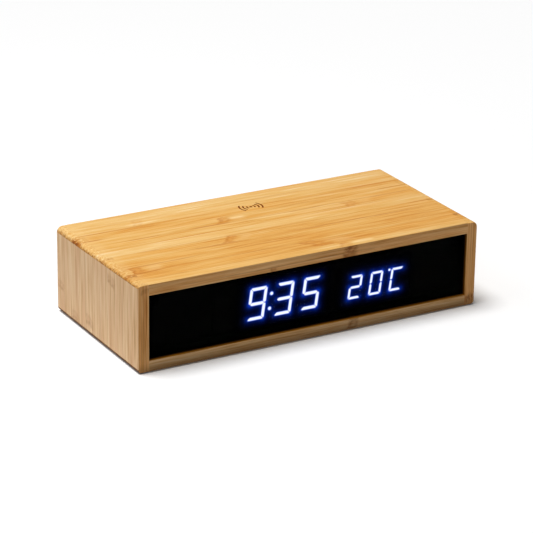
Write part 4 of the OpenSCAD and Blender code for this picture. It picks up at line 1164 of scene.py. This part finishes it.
def inlet_contacts():
    """Gold contacts above and below the inlet's tongue."""
    low, high, middle = mm_box("usb_tongue")
    bm = bmesh.new()
    block(bm, CONTACT_SIZE)
    bmesh.ops.bevel(bm, geom=bm.edges[:], offset=CONTACT_EASE * MM, segments=1, affect="EDGES")
    middle.y = high.y - CONTACT_SINK - CONTACT_SIZE[1] / 2
    spread("inlet_contacts_gold", linked(bm, "contact_master"), "screw_steel", (), Columns=CONTACT_COUNT,
           Width=(CONTACT_COUNT - 1) * CONTACT_PITCH * MM, Height=(high.z - low.z) * MM,
           Turn=(radians(90), 0, 0), Centre=middle * MM, Finish=contact_gold)


rear_screws()
feet()
inlet_contacts()


# Printed signs


def printed(name, outlines, face_y, body):
    """Signs printed on a face that looks back: thin closed outlines on X and Z."""
    bm = bmesh.new()
    levels = (face_y - PRINT_SINK, face_y + PRINT_RISE)
    for outline in outlines:
        cover(bm, [[vertex(bm, x, y, z) for x, z in outline] for y in levels])
    settle(linked(bm, name, (print_white,)), body, "white_abs")


def arc_outline(inner, outer, start, end, steps=20):
    """Closed outline of a bent stroke."""
    turns = [start + (end - start) * i / steps for i in range(steps + 1)]
    return [round_at(outer, t) for t in turns] + [round_at(inner, t) for t in reversed(turns)]


def placed(outline, x, z, size=1.0):
    return [(x + size * a, z + size * b) for a, b in outline]


def key_signs():
    """Signs over the keys: a ring, an arrow down, an arrow up and a bell."""
    arrow = [(-1, -0.6), (1, -0.6), (0, 1)]
    dome = placed([round_at(0.7, t) for t in range(0, 181, 15)], 0, 0.3)
    bell = dome + [(-0.75, -0.3), (-1.1, -0.7), (1.1, -0.7), (0.75, -0.3)]
    clapper = placed(arc_outline(0.05 / SIGN_SIZE, 0.32, 180, 360, 10), 0, -0.78)
    signs = dict(
        set_key=[arc_outline(0.65, 1, 0, 175), arc_outline(0.65, 1, 180, 355)],
        down_key=[[(a, -b) for a, b in arrow]], up_key=[arrow], alarm_key=[bell, clapper])
    outlines = []
    for node, sign in signs.items():
        middle = mm_box(node)[2]
        outlines += [placed(outline, middle.x, middle.z + SIGN_RISE, SIGN_SIZE) for outline in sign]
    printed("key_signs_print", outlines, mm_box("rear_panel")[1].y, "case")


def door_arrow():
    """Bent arrow on the coin cell door: which way it opens."""
    _, high, middle = mm_box("battery_door")
    head = [round_at(radius, turn) for radius, turn in ARROW_HEAD]
    outlines = [placed(outline, middle.x, middle.z) for outline in (arc_outline(*ARROW_LINE), head)]
    printed("door_arrow_print", outlines, high.y, "cell_door")


key_signs()
door_arrow()


# CAD nodes that stay: each takes the finish of its slot, and the display's black ones the glow

slots = {row["node"]: row["material_slot"] for row in frame["record"]["subparts"]}
own_finishes = dict(
    reflector=display_skin, display_frame=display_skin, unlit_segments=display_skin, frame_screws=screw_black)
for node, shown in frame["nodes"].items():
    finish = own_finishes.get(node, FINISHES.get(slots[node]))
    if finish:
        shown.data.materials.clear()
        shown.data.materials.append(finish)


# Floor, light and camera


def seen_directly(tree):
    """1 for what the camera sees, also in or through something polished, and 0 for light that bounces."""
    path = tree.nodes.new("ShaderNodeLightPath").outputs
    seen = [Value(path[label]) for label in ("Is Camera Ray", "Is Glossy Ray", "Is Transmission Ray")]
    return largest(largest(seen[0], seen[1]), seen[2])


def studio_floor():
    """White floor with the object's shadow, which throws back less light than it shows."""
    bm = bmesh.new()
    bmesh.ops.create_grid(bm, x_segments=1, y_segments=1, size=FLOOR_REACH)
    finish = having(bpy.data.materials.new("studio_floor_white"), use_nodes=True)
    tree = finish.node_tree
    tree.nodes.clear()
    bounce, paper = [laid("ShaderNodeBsdfDiffuse", {"Color": (level, level, level, 1)}, tree=tree)
                     for level in (FLOOR_BOUNCE, FLOOR_SHADE)]
    lift = laid("ShaderNodeEmission", {"Strength": FLOOR_LIFT}, tree=tree)
    white = laid("ShaderNodeAddShader", {0: paper, 1: lift})
    choice = laid("ShaderNodeMixShader", {0: seen_directly(tree), 1: bounce, 2: white})
    feed(tree.nodes.new("ShaderNodeOutputMaterial").inputs[0], choice)
    floor = linked(bm, "studio_floor", (finish,))


def new_light(name, kind, source, **settings):
    """New light that shines from the direction of its source."""
    data = having(bpy.data.lights.new(name, kind), **settings)
    made = link(bpy.data.objects.new(name, data))
    made.rotation_euler = source.to_track_quat("Z", "Y").to_euler()
    return made


def studio_light():
    """White sky that lights weakly, a soft sun, and a lamp that the camera doesn't see."""
    world = having(bpy.data.worlds.new("studio_sky"), use_nodes=True)
    sky = world.node_tree.nodes["Background"]
    sky.inputs["Color"].default_value = (1, 1, 1, 1)
    feed(sky.inputs["Strength"], seen_directly(world.node_tree) * (1.0 - SKY_STRENGTH) + SKY_STRENGTH)
    bpy.context.scene.world = world
    new_light("studio_sun", "SUN", SUN_FROM, energy=SUN_STRENGTH, angle=radians(SUN_SPREAD))
    lamp = new_light("studio_lamp", "AREA", LAMP_AT, shape="DISK", size=LAMP_SIZE, energy=LAMP_POWER)
    lamp.location = LAMP_AT
    lamp.visible_camera = False


def photo_camera():
    """Camera where the photograph's stood."""
    level = cos(VIEW_ELEVATION)
    back = Vector((sin(VIEW_AZIMUTH) * level, -cos(VIEW_AZIMUTH) * level, sin(VIEW_ELEVATION)))
    data = having(bpy.data.cameras.new("photo_camera"), sensor_width=36, lens=VIEW_LENS, clip_start=0.05,
                  clip_end=200)
    camera = link(bpy.data.objects.new("photo_camera", data))
    turn = back.to_track_quat("Z", "Y").to_matrix().to_4x4() @ Matrix.Rotation(VIEW_ROLL, 4, "Z")
    camera.matrix_world = Matrix.Translation(VIEW_TARGET + back * VIEW_DISTANCE) @ turn
    bpy.context.scene.camera = camera


studio_floor()
studio_light()
photo_camera()
bpy.context.scene.view_settings.view_transform = "Standard"
